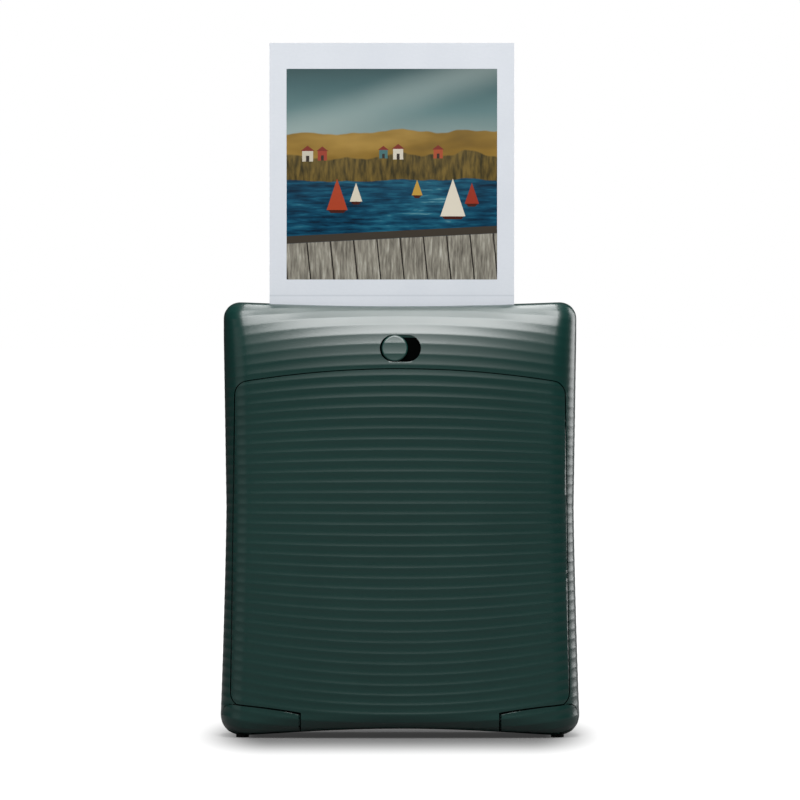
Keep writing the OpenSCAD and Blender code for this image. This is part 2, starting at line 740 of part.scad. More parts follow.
head_y = film_y + print_t / 2 + 0.95;
head_t = 5.4;
head_h = 6.4;
head_half_w = bracket_x - 0.3;
module exposure_head() {
    color([0.12, 0.12, 0.13])
    translate([film_x, 0, 0])
    difference() {
        block([-head_half_w, head_y, deck_z + 0.05], [head_half_w, head_y + head_t, deck_z + head_h]);
        block([-head_half_w + 4, head_y - 1, deck_z + 2.6],
            [head_half_w - 4, head_y + 1.2, deck_z + 4.4]);
    }
}
module rod_lens_strip() {
    color([0.75, 0.85, 0.90])
    translate([film_x, 0, 0])
    block([-head_half_w + 4.1, head_y - 0.5, deck_z + 2.7],
        [head_half_w - 4.1, head_y + 1.15, deck_z + 4.3]);
}
module head_flex_cable() {
    t = 0.25;
    y0 = head_y + head_t + 0.05;
    z0 = board_z1 - 4;
    y1 = board_y + board_t + 0.05;
    ym = max(y0, y1) + 1.2;
    route = [[y0, deck_z + 4], [y0 + t, deck_z + 4], [ym + t, deck_z - 2], [ym + t, board_z1 + 3],
        [y1 + t, board_z1 - 1], [y1 + t, z0], [y1, z0], [y1, board_z1 - 1], [ym, board_z1 + 3],
        [ym, deck_z - 2]];
    color([0.80, 0.50, 0.15])
    translate([-24, 0, 0]) rotate([90, 0, 90]) linear_extrude(height = 14) polygon(route);
}

// ---- boards, battery and controls ----

module main_board() {
    color([0.10, 0.35, 0.22])
    difference() {
        block([-board_half_w, board_y, board_z0], [board_half_w, board_y + board_t, board_z1]);
        for (x = [-board_half_w + 3, board_half_w - 3], z = [board_z0 + 3, board_z1 - 3])
            rod_y(board_y - 1, board_y + board_t + 1, x, z, 1.1);
    }
}
module shield_can() {
    y = board_y + board_t;
    color(steel) block([14, y + eps, board_z0 + 4], [30, y + 2, board_z0 + 20]);
}
module board_chips() {
    y = board_y + board_t + eps;
    color([0.09, 0.09, 0.10])
    for (c = [[-28, 66, 9, 9], [-16, 68, 5, 4], [-30, 80, 6, 4], [-9, 64, 6, 6], [6, 64, 4, 7]])
        block([c[0], y, c[1]], [c[0] + c[2], y + 1.1, c[1] + c[3]]);
}
module battery_tray() {
    y = board_side_y + seat;
    w = battery_w / 2 + 1.4;
    color([0.15, 0.15, 0.16])
    difference() {
        block([-w, y, battery_z - 1.4], [w, y + 6, battery_z + battery_h + 1.4]);
        block([-battery_w / 2 - slip, y + 1, battery_z - slip],
            [battery_w / 2 + slip, y + 7, battery_z + battery_h + slip]);
    }
}
module battery_cell() {
    y = board_side_y + seat + 1.05;
    color([0.70, 0.72, 0.75])
    block([-battery_w / 2, y, battery_z], [battery_w / 2, y + battery_t, battery_z + battery_h]);
}
module side_boards() {
    x = side_board_x;
    color([0.10, 0.35, 0.22]) {
        block([x, side_y - 3, side_z - 7], [x + 0.8, side_y + 3, side_z + 7]);
        block([-x - 0.8, side_y - 3, socket_z - 9], [-x, side_y + 3, socket_z + 9]);
    }
}
module usb_socket() {
    x0 = -side_wall_x + 0.2;
    color(steel)
    difference() {
        slot_x(x0, -side_board_x - 0.8 - eps, side_y, socket_z, 8.9, 3.2);
        slot_x(x0 - 1, x0 + 5, side_y, socket_z, 8.3, 2.6);
    }
    color(dark) block([x0 + 1.2, side_y - 0.35, socket_z - 3.2], [x0 + 5, side_y + 0.35, socket_z + 3.2]);
}
module tact_switches() {
    y = board_y + board_t + eps;
    color([0.12, 0.12, 0.12]) {
        block([-2.6, y, power_z - 2.6], [2.6, y + switch_t, power_z + 2.6]);
        rod_y(y + switch_t, y + switch_t + switch_tip, 0, power_z, 1.2);
        block([side_board_x + 0.8 + eps, side_y - 2, side_z - 2],
            [side_board_x + 2.4, side_y + 2, side_z + 2]);
    }
}
module light_ring() {
    r0 = power_r + 0.3;
    r1 = r0 + ring_w;
    color([0.85, 0.90, 0.90])
    translate([0, half_d, power_z])
        rotate([90, 0, 0])
            rotate_extrude($fn = 64)
                polygon([[r0, 0.25], [r1 - 0.3, 0.2], [r1, 0.5], [r1, wall + 0.3],
                    [r1 + ring_flange, wall + 0.3], [r1 + ring_flange, wall + 1.1],
                    [r0 + 1.2, wall + 1.1], [r0 + 1.2, wall + 0.7], [r0, wall + 0.7]]);
}
module power_button() {
    tip = board_y + board_t + eps + switch_t + switch_tip + power_travel + 0.1;
    color([0.13, 0.23, 0.21]) {
        translate([0, power_rest, power_z])
            rotate([90, 0, 0])
                rotate_extrude($fn = 64)
                    polygon([[0, 0.15], [power_r - 1.2, 0], [power_r - 0.3, 0.12], [power_r, 0.5],
                        [power_r, power_rest - power_back - 0.7],
                        [power_r + 0.9, power_rest - power_back - 0.7],
                        [power_r + 0.9, power_rest - power_back], [0, power_rest - power_back]]);
        rod_y(tip, power_back, 0, power_z, 1.5);
    }
}
module side_button() {
    back = side_board_x + 2.4 + side_travel + 0.1;
    color([0.13, 0.23, 0.21]) {
        slot_x(back + 0.8, side_wall_x - 0.1, side_y, side_z, side_l - 0.4, 2 * side_r - 0.1);
        slot_x(back, back + 0.8, side_y, side_z, side_l + 1.6, 2 * side_r + 1.2);
    }
}

// ---- hinge, latch and door ----

module hinge_pins() {
    color(steel) both_sides() rod_x(pin_x, ear_x + ear_w, hinge_y, hinge_z, pin_r);
}

module latch_guide() {
    z0 = latch_z - slider_half_h;
    z1 = latch_z + slider_half_h;
    color(dark) {
        block([slider_x0 - 2, guide_y, z0 - 1.4], [slider_x1 + latch_travel + 2, guide_y + 1, z1 + 1]);
        block([slider_x0, guide_y - slider_t, z1 + slip], [slider_x1, guide_y, z1 + 1]);
        for (x = [slider_x0, slider_x1 - 4])
            block([x, guide_y - slider_t, z0 - 1], [x + 4, guide_y, z0 - slip]);
        for (x = [slider_x0 - 2, slider_x1 + latch_travel + 0.4])
            block([x, -face_in(x + 1) + 0.3, latch_z - 2], [x + 1.6, guide_y, latch_z + 2]);
    }
}
// Spring of parallel leaves joined by turns, between the end of the slider and the guide
module latch_spring() {
    leaves = 4;
    leaf_t = 0.3;
    step = (latch_travel + 0.4 - 2 * seat - leaf_t) / (leaves - 1);
    x0 = slider_x1 + seat;
    y0 = slider_y + 0.2;
    y1 = y0 + 0.6;
    h = 5;
    color(steel) {
        for (i = [0 : leaves - 1])
            block([x0 + i * step, y0, latch_z - h / 2], [x0 + i * step + leaf_t, y1, latch_z + h / 2]);
        for (i = [0 : leaves - 2])
            let (z = latch_z + (i % 2 == 0 ? h / 2 - leaf_t : -h / 2))
            block([x0 + i * step + leaf_t, y0, z], [x0 + (i + 1) * step, y1, z + leaf_t]);
    }
}
module latch_slider() {
    z0 = latch_z - slider_half_h;
    y1 = slider_y + slider_t;
    color([0.12, 0.22, 0.20]) {
        block([slider_x0, slider_y, z0], [slider_x1, y1, latch_z + slider_half_h]);
        block([knob_x - hook_half_w, slider_y, liner_z1 + 0.6], [knob_x + hook_half_w, y1, z0]);
        block([knob_x - hook_half_w, y1, liner_z1 + 0.6], [knob_x + hook_half_w, y1 + 1, liner_z1 + 2]);
        translate([knob_x, slider_y, latch_z])
            rotate([90, 0, 0])
                rotate_extrude($fn = 64)
                    polygon([[0, 0], [latch_knob_d / 2, 0], [latch_knob_d / 2, 1.9],
                        [latch_knob_d / 2 - 0.3, 2.15], [0, 2.15]]);
    }
}

module film_door() {
    color(case_green)
    resize([0, 0, 0])
    difference() {
        intersection() {
            body_skin();
            union() {
                door_prism(0);
                rod_x(-tongue_w / 2, tongue_w / 2, hinge_y, hinge_z, tongue_r);
            }
        }
        rod_x(-tongue_w, tongue_w, hinge_y, hinge_z, knuckle_r + knuckle_gap);
    }
}

module door_liner() {
    steps = 12;
    keeper = [knob_x - hook_half_w - 0.3 - 5.7, knob_x - hook_half_w - 0.3];
    curve = [for (i = [0 : steps]) let (x = liner_half_w * (1 - 2 * i / steps))
        [x, -face_in(x) + 0.25]];
    arm = [[-1.2, 0], [-1.2, liner_z0 - hinge_z + 0.01], [liner_y - hinge_y, liner_z0 - hinge_z + 0.01],
        [liner_y - hinge_y, 2.2], [1.2, 0]];
    color([0.11, 0.12, 0.12])
    difference() {
        union() {
            difference() {
                translate([0, 0, liner_z0])
                    linear_extrude(height = liner_z1 - liner_z0)
                        polygon(concat(curve, [[-liner_half_w, liner_y], [liner_half_w, liner_y]]));
                both_sides()
                    block([28, liner_y - 0.8, liner_z0 + 6], [38, liner_y + 1, liner_z1 - 6]);
                block([-5, liner_y - 0.8, liner_z0 + 6], [5, liner_y + 1, liner_z1 - 6]);
            }
            block([keeper[0], slider_y, liner_z1], [keeper[1], liner_y, liner_z1 + 4]);
            both_sides()
                translate([knuckle_x, hinge_y, hinge_z])
                    rotate([90, 0, 90])
                        linear_extrude(height = knuckle_w)
                            union() {
                                circle(r = knuckle_r);
                                polygon(arm);
                            }
        }
        both_sides()
            rod_x(knuckle_x - 1, knuckle_x + knuckle_w + 1, hinge_y, hinge_z, pin_r + run);
    }
}

// Bowed leaf springs that hold the cassette against the chamber
module pressure_springs() {
    span = 50;
    rise = spring_room - 0.25;
    t = 0.2;
    steps = 8;
    mid = cassette_z + cassette_l / 2;
    function bow(i, lift) = [liner_y + lift + rise * (1 - sq(2 * i / steps - 1)) * 0.6,
        mid - span / 2 + span * i / steps];
    color(steel)
    both_sides()
        translate([11, 0, 0])
            rotate([90, 0, 90])
                linear_extrude(height = 10)
                    polygon(concat([for (i = [0 : steps]) bow(i, 0.03 + t)],
                        [for (i = [steps : -1 : 0]) bow(i, 0.03)]));
}

// ---- print ----

image_z0 = print_z + print_l - image_top - image_s;
image_t = 0.12;
back_t = 0.1;
print_y0 = film_y - print_t / 2;
print_y1 = film_y + print_t / 2;
module print_sheet() {
    color([0.92, 0.94, 0.95])
    difference() {
        block([film_x - print_w / 2, print_y0, print_z],
            [film_x + print_w / 2, print_y1 - back_t, print_z + print_l]);
        block([film_x - image_s / 2, print_y0 - 1, image_z0],
            [film_x + image_s / 2, print_y0 + image_t, image_z0 + image_s]);
    }
}
module print_image() {
    color([0.35, 0.48, 0.50])
    block([film_x - image_s / 2 + eps, print_y0 + eps, image_z0 + eps],
        [film_x + image_s / 2 - eps, print_y0 + image_t, image_z0 + image_s - eps]);
}
module print_back() {
    color([0.04, 0.04, 0.04])
    block([film_x - print_w / 2 + 0.3, print_y1 - back_t, print_z + 0.3],
        [film_x + print_w / 2 - 0.3, print_y1, print_z + print_l - 0.3]);
}

back_case();
front_case();
slot_bezel();
feet();
film_chamber();
chamber_seal();
frame_screws();
cassette_shell();
cassette_cover();
film_stack();
roller_bracket_left();
roller_bracket_right();
roller_bushes();
motor_can();
gear_plate();
gear_axles();
exposure_head();
rod_lens_strip();
head_flex_cable();
main_board();
shield_can();
board_chips();
battery_cell();
battery_tray();
side_boards();
tact_switches();
usb_socket();
light_ring();
hinge_pins();
latch_guide();
latch_spring();
film_door();
door_liner();
pressure_springs();
latch_slider();
power_button();
side_button();
print_sheet();
print_image();
print_back();
drive_roller();
roller_gear();
pressure_roller();
second_gear();
first_gear();
motor_pinion();
motor_shaft();
film_claw();
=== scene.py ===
"""Looks of a compact photo printer: fluted green casing, film door, latch and a standing print."""
import json
import math

import bmesh
import bpy
import numpy as np
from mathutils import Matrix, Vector

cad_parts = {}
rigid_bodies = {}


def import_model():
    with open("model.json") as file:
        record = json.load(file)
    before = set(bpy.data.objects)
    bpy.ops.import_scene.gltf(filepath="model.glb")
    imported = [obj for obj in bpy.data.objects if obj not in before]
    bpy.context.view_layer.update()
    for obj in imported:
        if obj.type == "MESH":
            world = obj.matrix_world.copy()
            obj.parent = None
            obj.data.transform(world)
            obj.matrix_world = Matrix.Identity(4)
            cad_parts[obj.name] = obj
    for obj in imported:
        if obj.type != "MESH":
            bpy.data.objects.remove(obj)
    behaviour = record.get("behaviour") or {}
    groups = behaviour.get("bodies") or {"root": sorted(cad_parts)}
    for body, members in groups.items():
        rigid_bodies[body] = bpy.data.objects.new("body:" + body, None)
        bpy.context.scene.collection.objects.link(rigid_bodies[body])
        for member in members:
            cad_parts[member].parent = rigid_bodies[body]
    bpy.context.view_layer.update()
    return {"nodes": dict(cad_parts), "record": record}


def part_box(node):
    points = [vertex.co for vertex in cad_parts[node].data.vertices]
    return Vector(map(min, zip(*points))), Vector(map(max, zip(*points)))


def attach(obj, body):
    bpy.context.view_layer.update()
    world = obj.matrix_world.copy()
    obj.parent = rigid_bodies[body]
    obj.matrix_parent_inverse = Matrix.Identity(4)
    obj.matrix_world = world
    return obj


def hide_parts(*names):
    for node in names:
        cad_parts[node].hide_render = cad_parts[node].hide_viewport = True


bl_info = {
    "name": "Compact photo printer",
    "version": (1, 0, 0),
    "blender": (4, 5, 0),
    "location": "View3D > Sidebar > Printer",
    "description": "Builds a compact photo printer's casing, door and latch, and its finishes",
    "category": "Object",
}

for leftover in list(bpy.data.objects):
    bpy.data.objects.remove(leftover)
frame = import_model()
MM = 0.001

# Sizes of the casing in millimetres. Most are the construction's; the base, the curve near
# the top, the steps' gaps, the dark sheets that paint shade in those gaps, the flutes' fading
# and the knob are this script's own.
BODY_W, BODY_D, BODY_H = 105.8, 34.4, 128.0
WAIST_W, TOP_W, WAIST_Z, WAIST_POWER, TOP_STRAIGHT = 102.4, 103.9, 68.0, 1.3, 10.0
SHELL_Z0, BASE_ARCH, ARCH_POWER, TOP_SAG, BEND_H = 0.35, 2.35, 1.5, 1.3, 20.0
WALL, CORNER_R, LEAST_CORNER_R = 1.8, 8.5, 0.5
TOP_SIDE_R, TOP_FACE_R, BASE_SIDE_R, BASE_FACE_R = 5.0, 10.5, 6.0, 5.5
TOP_CURVE_Z, TOP_CURVE_IN, TOP_CURVE_OUT, THIN_WALL = 94.0, 2.45, 2.2, 0.45
FACE_LEAN, SIDE_LEAN = math.radians(7), math.radians(3)
PARTING_Y, PARTING_GAP = 3.0, 0.1
DOOR_TOP, DOOR_TOP_W, DOOR_BASE_W, TONGUE_W, DOOR_GAP = 108.4, 96.6, 99.3, 58.1, 0.3
DOOR_CORNER_R, DOOR_LOW_Z, DOOR_EDGE_Y, DOOR_DROP = 4.0, 9.9, -BODY_D / 2 + 8.2, 4.75
HINGE_Y, HINGE_Z, PIN_R = -BODY_D / 2 + 4.2, 5.4, 0.75
KNUCKLE_CUT_R, TONGUE_R, TONGUE_ROOM = PIN_R + 1.07, 3.6, 0.2
TONGUE_EDGE, TONGUE_H = 1.2, 6.0
STEP_R, STEP_RISE, STEP_L, STEP_GAP = 3.5, 0.054, 24.0, 0.4
# Sizes of the dark sheets that paint shade in the gaps under the door's lower corners
SHADE_SHEET_BACK, SHADE_SHEET_START, SHADE_SHEET_CAP = 0.04, 0.06, 0.4
EAR_END = TONGUE_W / 2 + 4.2
LATCH_X, LATCH_Z, LATCH_L, LATCH_H = 0.1, DOOR_TOP + 6.1, 12.1, 7.9
SLOT_RIM, RAIL_ROOM = 0.14, 0.15
KNOB_R, KNOB_BEVEL, KNOB_PROUD, KNOB_DEPTH, KNOB_SIDE = 3.85, 0.45, -0.2, 0.9, 0.5
LIGHT_RING_R, RING_CUT_Y = 8.4, 5.0
SIDE_Y, SIDE_Z, SIDE_L, SIDE_H = -4.0, 72.0, 9.0, 3.7
SOCKET_Z, SOCKET_L, SOCKET_H = 30.0, 9.4, 3.6
FOOT_R, FOOT_TOP, FOOT_ROOM = 2.0, SHELL_Z0 + 0.6, 0.1
SLOT_R, SLOT_ROOM = 2.3, 0.2

# Where the flutes fade: as the face turns over, towards the sides, and towards the top
FLUTE_TURN, FLUTE_TURN_FADE = math.radians(80), math.radians(28)
FLUTE_SIDE, FLUTE_SIDE_FADE, FLUTE_SIDE_LOSS = 0.84, 0.16, 0.7
FLUTE_TOP, FLUTE_TOP_FADE, FLUTE_TOP_LOSS = 26.0, 12.0, 0.5

# How far cutters reach past a face, out of and into a side wall, and into the top
PAST, SIDE_OUT, SIDE_IN, TOP_IN = 1.0, 3.0, 4.0, 8.0

# Fineness of the meshes, and the turn in radians below which a corner stays unrounded
OUTER_COLUMNS, INNER_COLUMNS = (26, 14, 4), (12, 8, 2)
INNER_TURN_RINGS, INNER_STRAIGHT_RINGS = 12, 8
CONE_SIDES, FINE_SIDES, END_STEPS, CORNER_STEPS, DOOR_EDGE_STEPS = 128, 96, 16, 10, 32
KNOB_RINGS, KNOB_BEVEL_SHARES = 30, (0.35, 0.65, 0.88, 1.0)
SLIGHT_TURN = 0.35

# The print's fold line below the top of its sheet, in metres
FOLD_DOWN = 0.0743


# ---- shader expressions ----

class Sock:
    """A socket of a node tree that takes part in ordinary arithmetic."""

    def __init__(self, tree, out):
        self.tree = tree
        self.out = out

    def _math(self, operation, first, second):
        return self.tree.node("ShaderNodeMath", {"operation": operation}, [first, second])

    def __add__(self, other):
        return self._math("ADD", self, other)

    __radd__ = __add__

    def __sub__(self, other):
        return self._math("SUBTRACT", self, other)

    def __rsub__(self, other):
        return self._math("SUBTRACT", other, self)

    def __mul__(self, other):
        return self._math("MULTIPLY", self, other)

    __rmul__ = __mul__

    def __truediv__(self, other):
        return self._math("DIVIDE", self, other)

    def __pow__(self, other):
        return self._math("POWER", self, other)

    def __gt__(self, other):
        return self._math("GREATER_THAN", self, other)

    def __lt__(self, other):
        return self._math("LESS_THAN", self, other)

    def __abs__(self):
        return self.tree.node("ShaderNodeMath", {"operation": "ABSOLUTE"}, [self])


class Finish:
    """One material and its shader tree."""

    def __init__(self, name, **constants):
        self.material = bpy.data.materials.new(name)
        self.material.use_nodes = True
        self.nodes = self.material.node_tree.nodes
        self.links = self.material.node_tree.links
        self.shader = self.nodes["Principled BSDF"]
        for key, value in constants.items():
            self.put(self.shader.inputs[key.replace("_", " ")], value)

    def put(self, socket, value):
        """Links another socket to this one, or sets its plain value."""
        if isinstance(value, Sock):
            self.links.new(value.out, socket)
        elif isinstance(value, (tuple, list)) and socket.type == "RGBA" and len(value) == 3:
            socket.default_value = (*value, 1)
        else:
            socket.default_value = value

    def node(self, kind, settings=None, inputs=(), out=0):
        """Adds a node: settings first, then the values or links of its sockets."""
        made = self.nodes.new(kind)
        for key, value in (settings or {}).items():
            if key == "stops":
                ramp = made.color_ramp
                while len(ramp.elements) < len(value):
                    ramp.elements.new(1)
                for element, (place, colour) in zip(ramp.elements, value):
                    element.position = place
                    element.color = (*colour, 1)
            else:
                setattr(made, key, value)
        pairs = inputs.items() if isinstance(inputs, dict) else enumerate(inputs)
        for key, value in pairs:
            if value is not None:
                self.put(made.inputs[key], value)
        return Sock(self, made.outputs[out])

    def place(self):
        """The point on the surface in metres, in the object's own frame."""
        return self.node("ShaderNodeTexCoord", out="Object")

    def axes(self, vector):
        """The X, Y and Z parts of a vector."""
        return [self.node("ShaderNodeSeparateXYZ", None, [vector], out=i) for i in range(3)]

    def noise(self, vector, scale, detail=2.0, roughness=0.5):
        """Soft noise, about 0 to 1."""
        inputs = {"Vector": vector, "Scale": scale, "Detail": detail, "Roughness": roughness}
        return self.node("ShaderNodeTexNoise", None, inputs)

    def stretch(self, vector, scale):
        """A vector scaled along each axis."""
        return self.node("ShaderNodeVectorMath", {"operation": "MULTIPLY"}, [vector, scale])

    def step(self, value, low, high):
        """0 below low, 1 above high, smooth between."""
        settings = {"interpolation_type": "SMOOTHSTEP"}
        inputs = {"Value": value, "From Min": low, "From Max": high}
        return self.node("ShaderNodeMapRange", settings, inputs)

    def mix(self, factor, first, second):
        """A colour between two others, by a factor of 0 to 1."""
        made = self.nodes.new("ShaderNodeMix")
        made.data_type = "RGBA"
        for socket, value in ((0, factor), (6, first), (7, second)):
            self.put(made.inputs[socket], value)
        return Sock(self, made.outputs[2])

    def ramp(self, value, stops):
        """A colour by a value's place between the stops."""
        return self.node("ShaderNodeValToRGB", {"stops": stops}, [value])

    def bump(self, height, strength, distance):
        """The surface's direction, bent by a height."""
        inputs = {"Height": height, "Strength": strength, "Distance": distance}
        return self.node("ShaderNodeBump", None, inputs)

    def feed(self, **links):
        """Feeds the shader's inputs and gives the material."""
        for key, value in links.items():
            self.put(self.shader.inputs[key.replace("_", " ")], value)
        return self.material


def srgb(r, g, b):
    """A colour given as 0 to 255, made linear."""
    return tuple((c / 255 / 12.92) if c / 255 <= 0.04045 else ((c / 255 + 0.055) / 1.055) ** 2.4
                 for c in (r, g, b))


# ---- the casing's form ----

def draw_in(distance, radius):
    """How far an edge of that radius draws in at a distance from the end."""
    inner = np.clip(radius - distance, 0, radius)
    return radius - np.sqrt(radius ** 2 - inner ** 2)


def waist(z):
    """Half the width at a height, before the ends draw in: least at the waist."""
    below = np.clip((WAIST_Z - z) / (WAIST_Z - SHELL_Z0 - BASE_SIDE_R), 0, 1) ** WAIST_POWER
    above = np.clip((z - WAIST_Z) / (BODY_H - WAIST_Z - TOP_STRAIGHT), 0, 1)
    return WAIST_W / 2 + (BODY_W - WAIST_W) / 2 * below + (TOP_W - WAIST_W) / 2 * above


def half_x(z, inset):
    """Half the width at a height, so far inside the outer form."""
    return (waist(z) - inset - draw_in(BODY_H - inset - z, TOP_SIDE_R - inset)
            - draw_in(z - SHELL_Z0 - inset, BASE_SIDE_R - inset))


def face_in(z):
    """How far the faces curve in towards the top: a long gentle start, then the edge's turn."""
    t = np.clip((z - TOP_CURVE_Z) / (BODY_H - TOP_CURVE_Z), 0, 1)
    return TOP_FACE_R * (1 - (1 - t ** TOP_CURVE_IN) ** (1 / TOP_CURVE_OUT))


def half_y(z, inset):
    """Half the depth at a height, so far inside the outer form, and never flush with it."""
    outer = BODY_D / 2 - face_in(z) - draw_in(z - SHELL_Z0, BASE_FACE_R)
    if inset == 0:
        return outer
    plain = (BODY_D / 2 - inset - draw_in(BODY_H - inset - z, TOP_FACE_R - inset)
             - draw_in(z - SHELL_Z0 - inset, BASE_FACE_R - inset))
    return np.minimum(plain, outer - THIN_WALL)


def fade(distance):
    """1 at an end of the casing, easing to 0 at the bend's height."""
    return (1 - np.clip(distance / BEND_H, 0, 1)) ** 2


def bend(x, z):
    """Rise of the arched base and dip of the upper edge."""
    across = 1 - np.minimum(1, np.abs(x) / (BODY_W / 2)) ** 2
    return (BASE_ARCH * across ** ARCH_POWER * fade(z - SHELL_Z0)
            - TOP_SAG * across * fade(BODY_H - z))


def outline(part, share, a, b, inset, signs):
    """Points of the outline: part 0 is the face, 1 the corner, 2 the side; share runs along it."""
    fraction = b / (BODY_D / 2 - inset)
    r = np.maximum(LEAST_CORNER_R, (CORNER_R - inset) * fraction)
    lean = FACE_LEAN * fraction
    ta, tb = np.tan(lean) / 2, math.tan(SIDE_LEAN) / 2
    ky = b - r * np.cos(lean) - ta * r * np.sin(lean)
    kx = a - r * math.cos(SIDE_LEAN) - tb * r * math.sin(SIDE_LEAN)
    cx = (kx - tb * ky) / (1 - ta * tb)
    cy = ky - ta * cx
    xj, yj = cx + r * np.sin(lean), cy + r * math.sin(SIDE_LEAN)
    turn = math.pi / 2 - lean - SIDE_LEAN
    angle = math.pi / 2 - lean - turn * share
    x = np.choose(part, [xj * share, cx + r * np.cos(angle),
                         a - tb / yj * (yj * (1 - share)) ** 2])
    y = np.choose(part, [b - ta / xj * (xj * share) ** 2, cy + r * np.sin(angle),
                         yj * (1 - share)])
    return x * signs[0], y * signs[1]


class Pitch:
    """The flutes: their size, and how a point's height maps to its length along the face."""

    def __init__(self, flutes):
        self.pitch = flutes.pitch / MM
        self.depth = flutes.depth / MM
        self.fan = flutes.fan
        self.mid = flutes.straight_z / MM
        # Lengths of face from the straight crest to where the face turns over
        self.up = BODY_H - TOP_FACE_R - self.mid
        self.down = self.mid - SHELL_Z0 - BASE_FACE_R

    def heights(self, step):
        """Heights of rings spaced evenly along the face, and the slope angle at each."""
        down = np.arange(0, self.down + BASE_FACE_R * math.pi / 2, step)[1:][::-1]
        up = np.arange(0, self.up + TOP_FACE_R * math.pi / 2, step)
        turn = [np.clip((down - self.down) / BASE_FACE_R, 0, math.pi / 2),
                np.clip((up - self.up) / TOP_FACE_R, 0, math.pi / 2)]
        low = np.where(down < self.down, self.mid - down,
                       SHELL_Z0 + BASE_FACE_R * (1 - np.sin(turn[0])))
        high = np.where(up < self.up, self.mid + up,
                        BODY_H - TOP_FACE_R * (1 - np.sin(turn[1])))
        ends = np.array([SHELL_Z0]), np.array([BODY_H])
        z = np.concatenate([ends[0], low, high, ends[1]])
        length = np.concatenate([[-down[0]], -down, up, [up[-1]]])
        angle = np.concatenate([[-math.pi / 2], -turn[0], turn[1], [math.pi / 2]])
        return z, length, angle

    def cut(self, length, u, angle):
        """Depth below the sharp crests, fading where the face turns over and at its edges."""
        place = length / (self.pitch * (1 - self.fan * u ** 2))
        share = place - np.floor(place)
        fading = np.clip((FLUTE_TURN - np.abs(angle)) / FLUTE_TURN_FADE, 0, 1)
        aside = np.clip((u - FLUTE_SIDE) / FLUTE_SIDE_FADE, 0, 1)
        above = np.clip((length - (BODY_H - FLUTE_TOP - self.mid)) / FLUTE_TOP_FADE, 0, 1)
        kept = fading * (1 - FLUTE_SIDE_LOSS * aside) * (1 - FLUTE_TOP_LOSS * above)
        return self.depth * 4 * share * (1 - share) * kept


def ring_columns(face, corner, side):
    """Which part of the outline each column lies on, its share of it, and its signs."""
    quarter = ([(0, i / face) for i in range(face)] + [(1, i / corner) for i in range(corner)]
               + [(2, i / side) for i in range(side)])
    back = [(2, 1.0)] + quarter[:0:-1]
    columns = [(p, s, 1, 1) for p, s in quarter] + [(p, s, 1, -1) for p, s in back]
    columns += [(p, s, -1, -1) for p, s in quarter] + [(p, s, -1, 1) for p, s in back]
    data = np.array(columns)
    return data[:, 0].astype(int), data[:, 1], data[:, 2:].T


def add_piece(name, points, faces):
    """Adds a mesh to the scene, from points in metres."""
    mesh = bpy.data.meshes.new(name)
    mesh.from_pydata(points, [], faces)
    made = bpy.data.objects.new(name, mesh)
    bpy.context.scene.collection.objects.link(made)
    return made


def ring_stack(name, z, columns, inset, flutes=None, length=None, angle=None):
    """A closed skin over a stack of rings; each end is bridged straight across."""
    part, share, signs = columns
    count = len(part)
    z = z[:, None] + np.zeros(count)
    u = np.abs(outline(part, share, WAIST_W / 2, BODY_D / 2, 0.0, signs)[0]) / (WAIST_W / 2)
    depth = flutes.cut(length[:, None], u[None, :], angle[:, None]) if flutes else 0 * z
    slope = angle[:, None] if flutes else 0.0
    part, share = part[None, :] + 0 * z.astype(int), share[None, :] + 0 * z
    a, b = half_x(z, inset), half_y(z, inset)
    inward = depth * np.cos(slope)
    x, y = outline(part, share, a - inward, b - inward, inset, signs)
    points = np.stack([x, y, z + bend(x, z) - depth * np.sin(slope)], -1).reshape(-1, 3) * MM
    rows = z.shape[0]
    index = np.arange(rows * count).reshape(rows, count)
    after = np.roll(index, -1, 1)
    sides = np.stack([index[:-1], after[:-1], after[1:], index[1:]], -1).reshape(-1, 4)[:, ::-1]
    faces = sides.tolist()
    half, quarter = count // 2, count // 4
    for row, order in ((0, 1), (rows - 1, -1)):
        for i in [*range(quarter), *range(half, half + quarter)]:
            corners = (i, i + 1, (half - i - 1) % count, (half - i) % count)
            faces.append([int(index[row, k]) for k in dict.fromkeys(corners)][::order])
    return add_piece(name, points.tolist(), faces)


def face_out(mesh):
    """Turns every face of a closed mesh outwards."""
    bm = bmesh.new()
    bm.from_mesh(mesh)
    bmesh.ops.recalc_face_normals(bm, faces=bm.faces)
    bm.to_mesh(mesh)
    bm.free()


def drawn_out(name, corners):
    """A closed solid between two outlines of as many corners, given one after the other."""
    count = len(corners) // 2
    faces = [list(range(count)), list(range(2 * count - 1, count - 1, -1))]
    faces += [[i, i + count, (i + 1) % count + count, (i + 1) % count] for i in range(count)]
    made = add_piece(name, corners, faces)
    face_out(made.data)
    return made


def prism(name, points, low, high, axis=1):
    """A flat outline in the two other axes, drawn out from low to high along one axis."""
    corners = []
    for level in (low, high):
        for p in points:
            corner = list(p)
            corner.insert(axis, level)
            corners.append([c * MM for c in corner])
    return drawn_out(name, corners)


def circle_points(x, y, r, count=48):
    """Points round a circle."""
    turns = [2 * math.pi * i / count for i in range(count)]
    return [(x + r * math.cos(t), y + r * math.sin(t)) for t in turns]


def stadium_points(x, y, length, height, upright=False):
    """Outline with round ends, along the first axis or the second."""
    r = height / 2
    reach = (length - height) / 2
    points = []
    for end in (1, -1):
        for i in range(END_STEPS + 1):
            t = math.pi * (i / END_STEPS - 0.5) + (0 if end == 1 else math.pi)
            p = (end * reach + r * math.cos(t), r * math.sin(t))
            points.append((x + (p[1] if upright else p[0]), y + (p[0] if upright else p[1])))
    return points


def about_hinge(name, x0, x1, r0, r1=None):
    """A cylinder about the hinge axis, or a cone if it has two radii."""
    ends = ((x0, r0), (x1, r0 if r1 is None else r1))
    return drawn_out(name, [(x * MM, y * MM, z * MM) for x, r in ends
                            for y, z in circle_points(HINGE_Y, HINGE_Z, r, CONE_SIDES)])


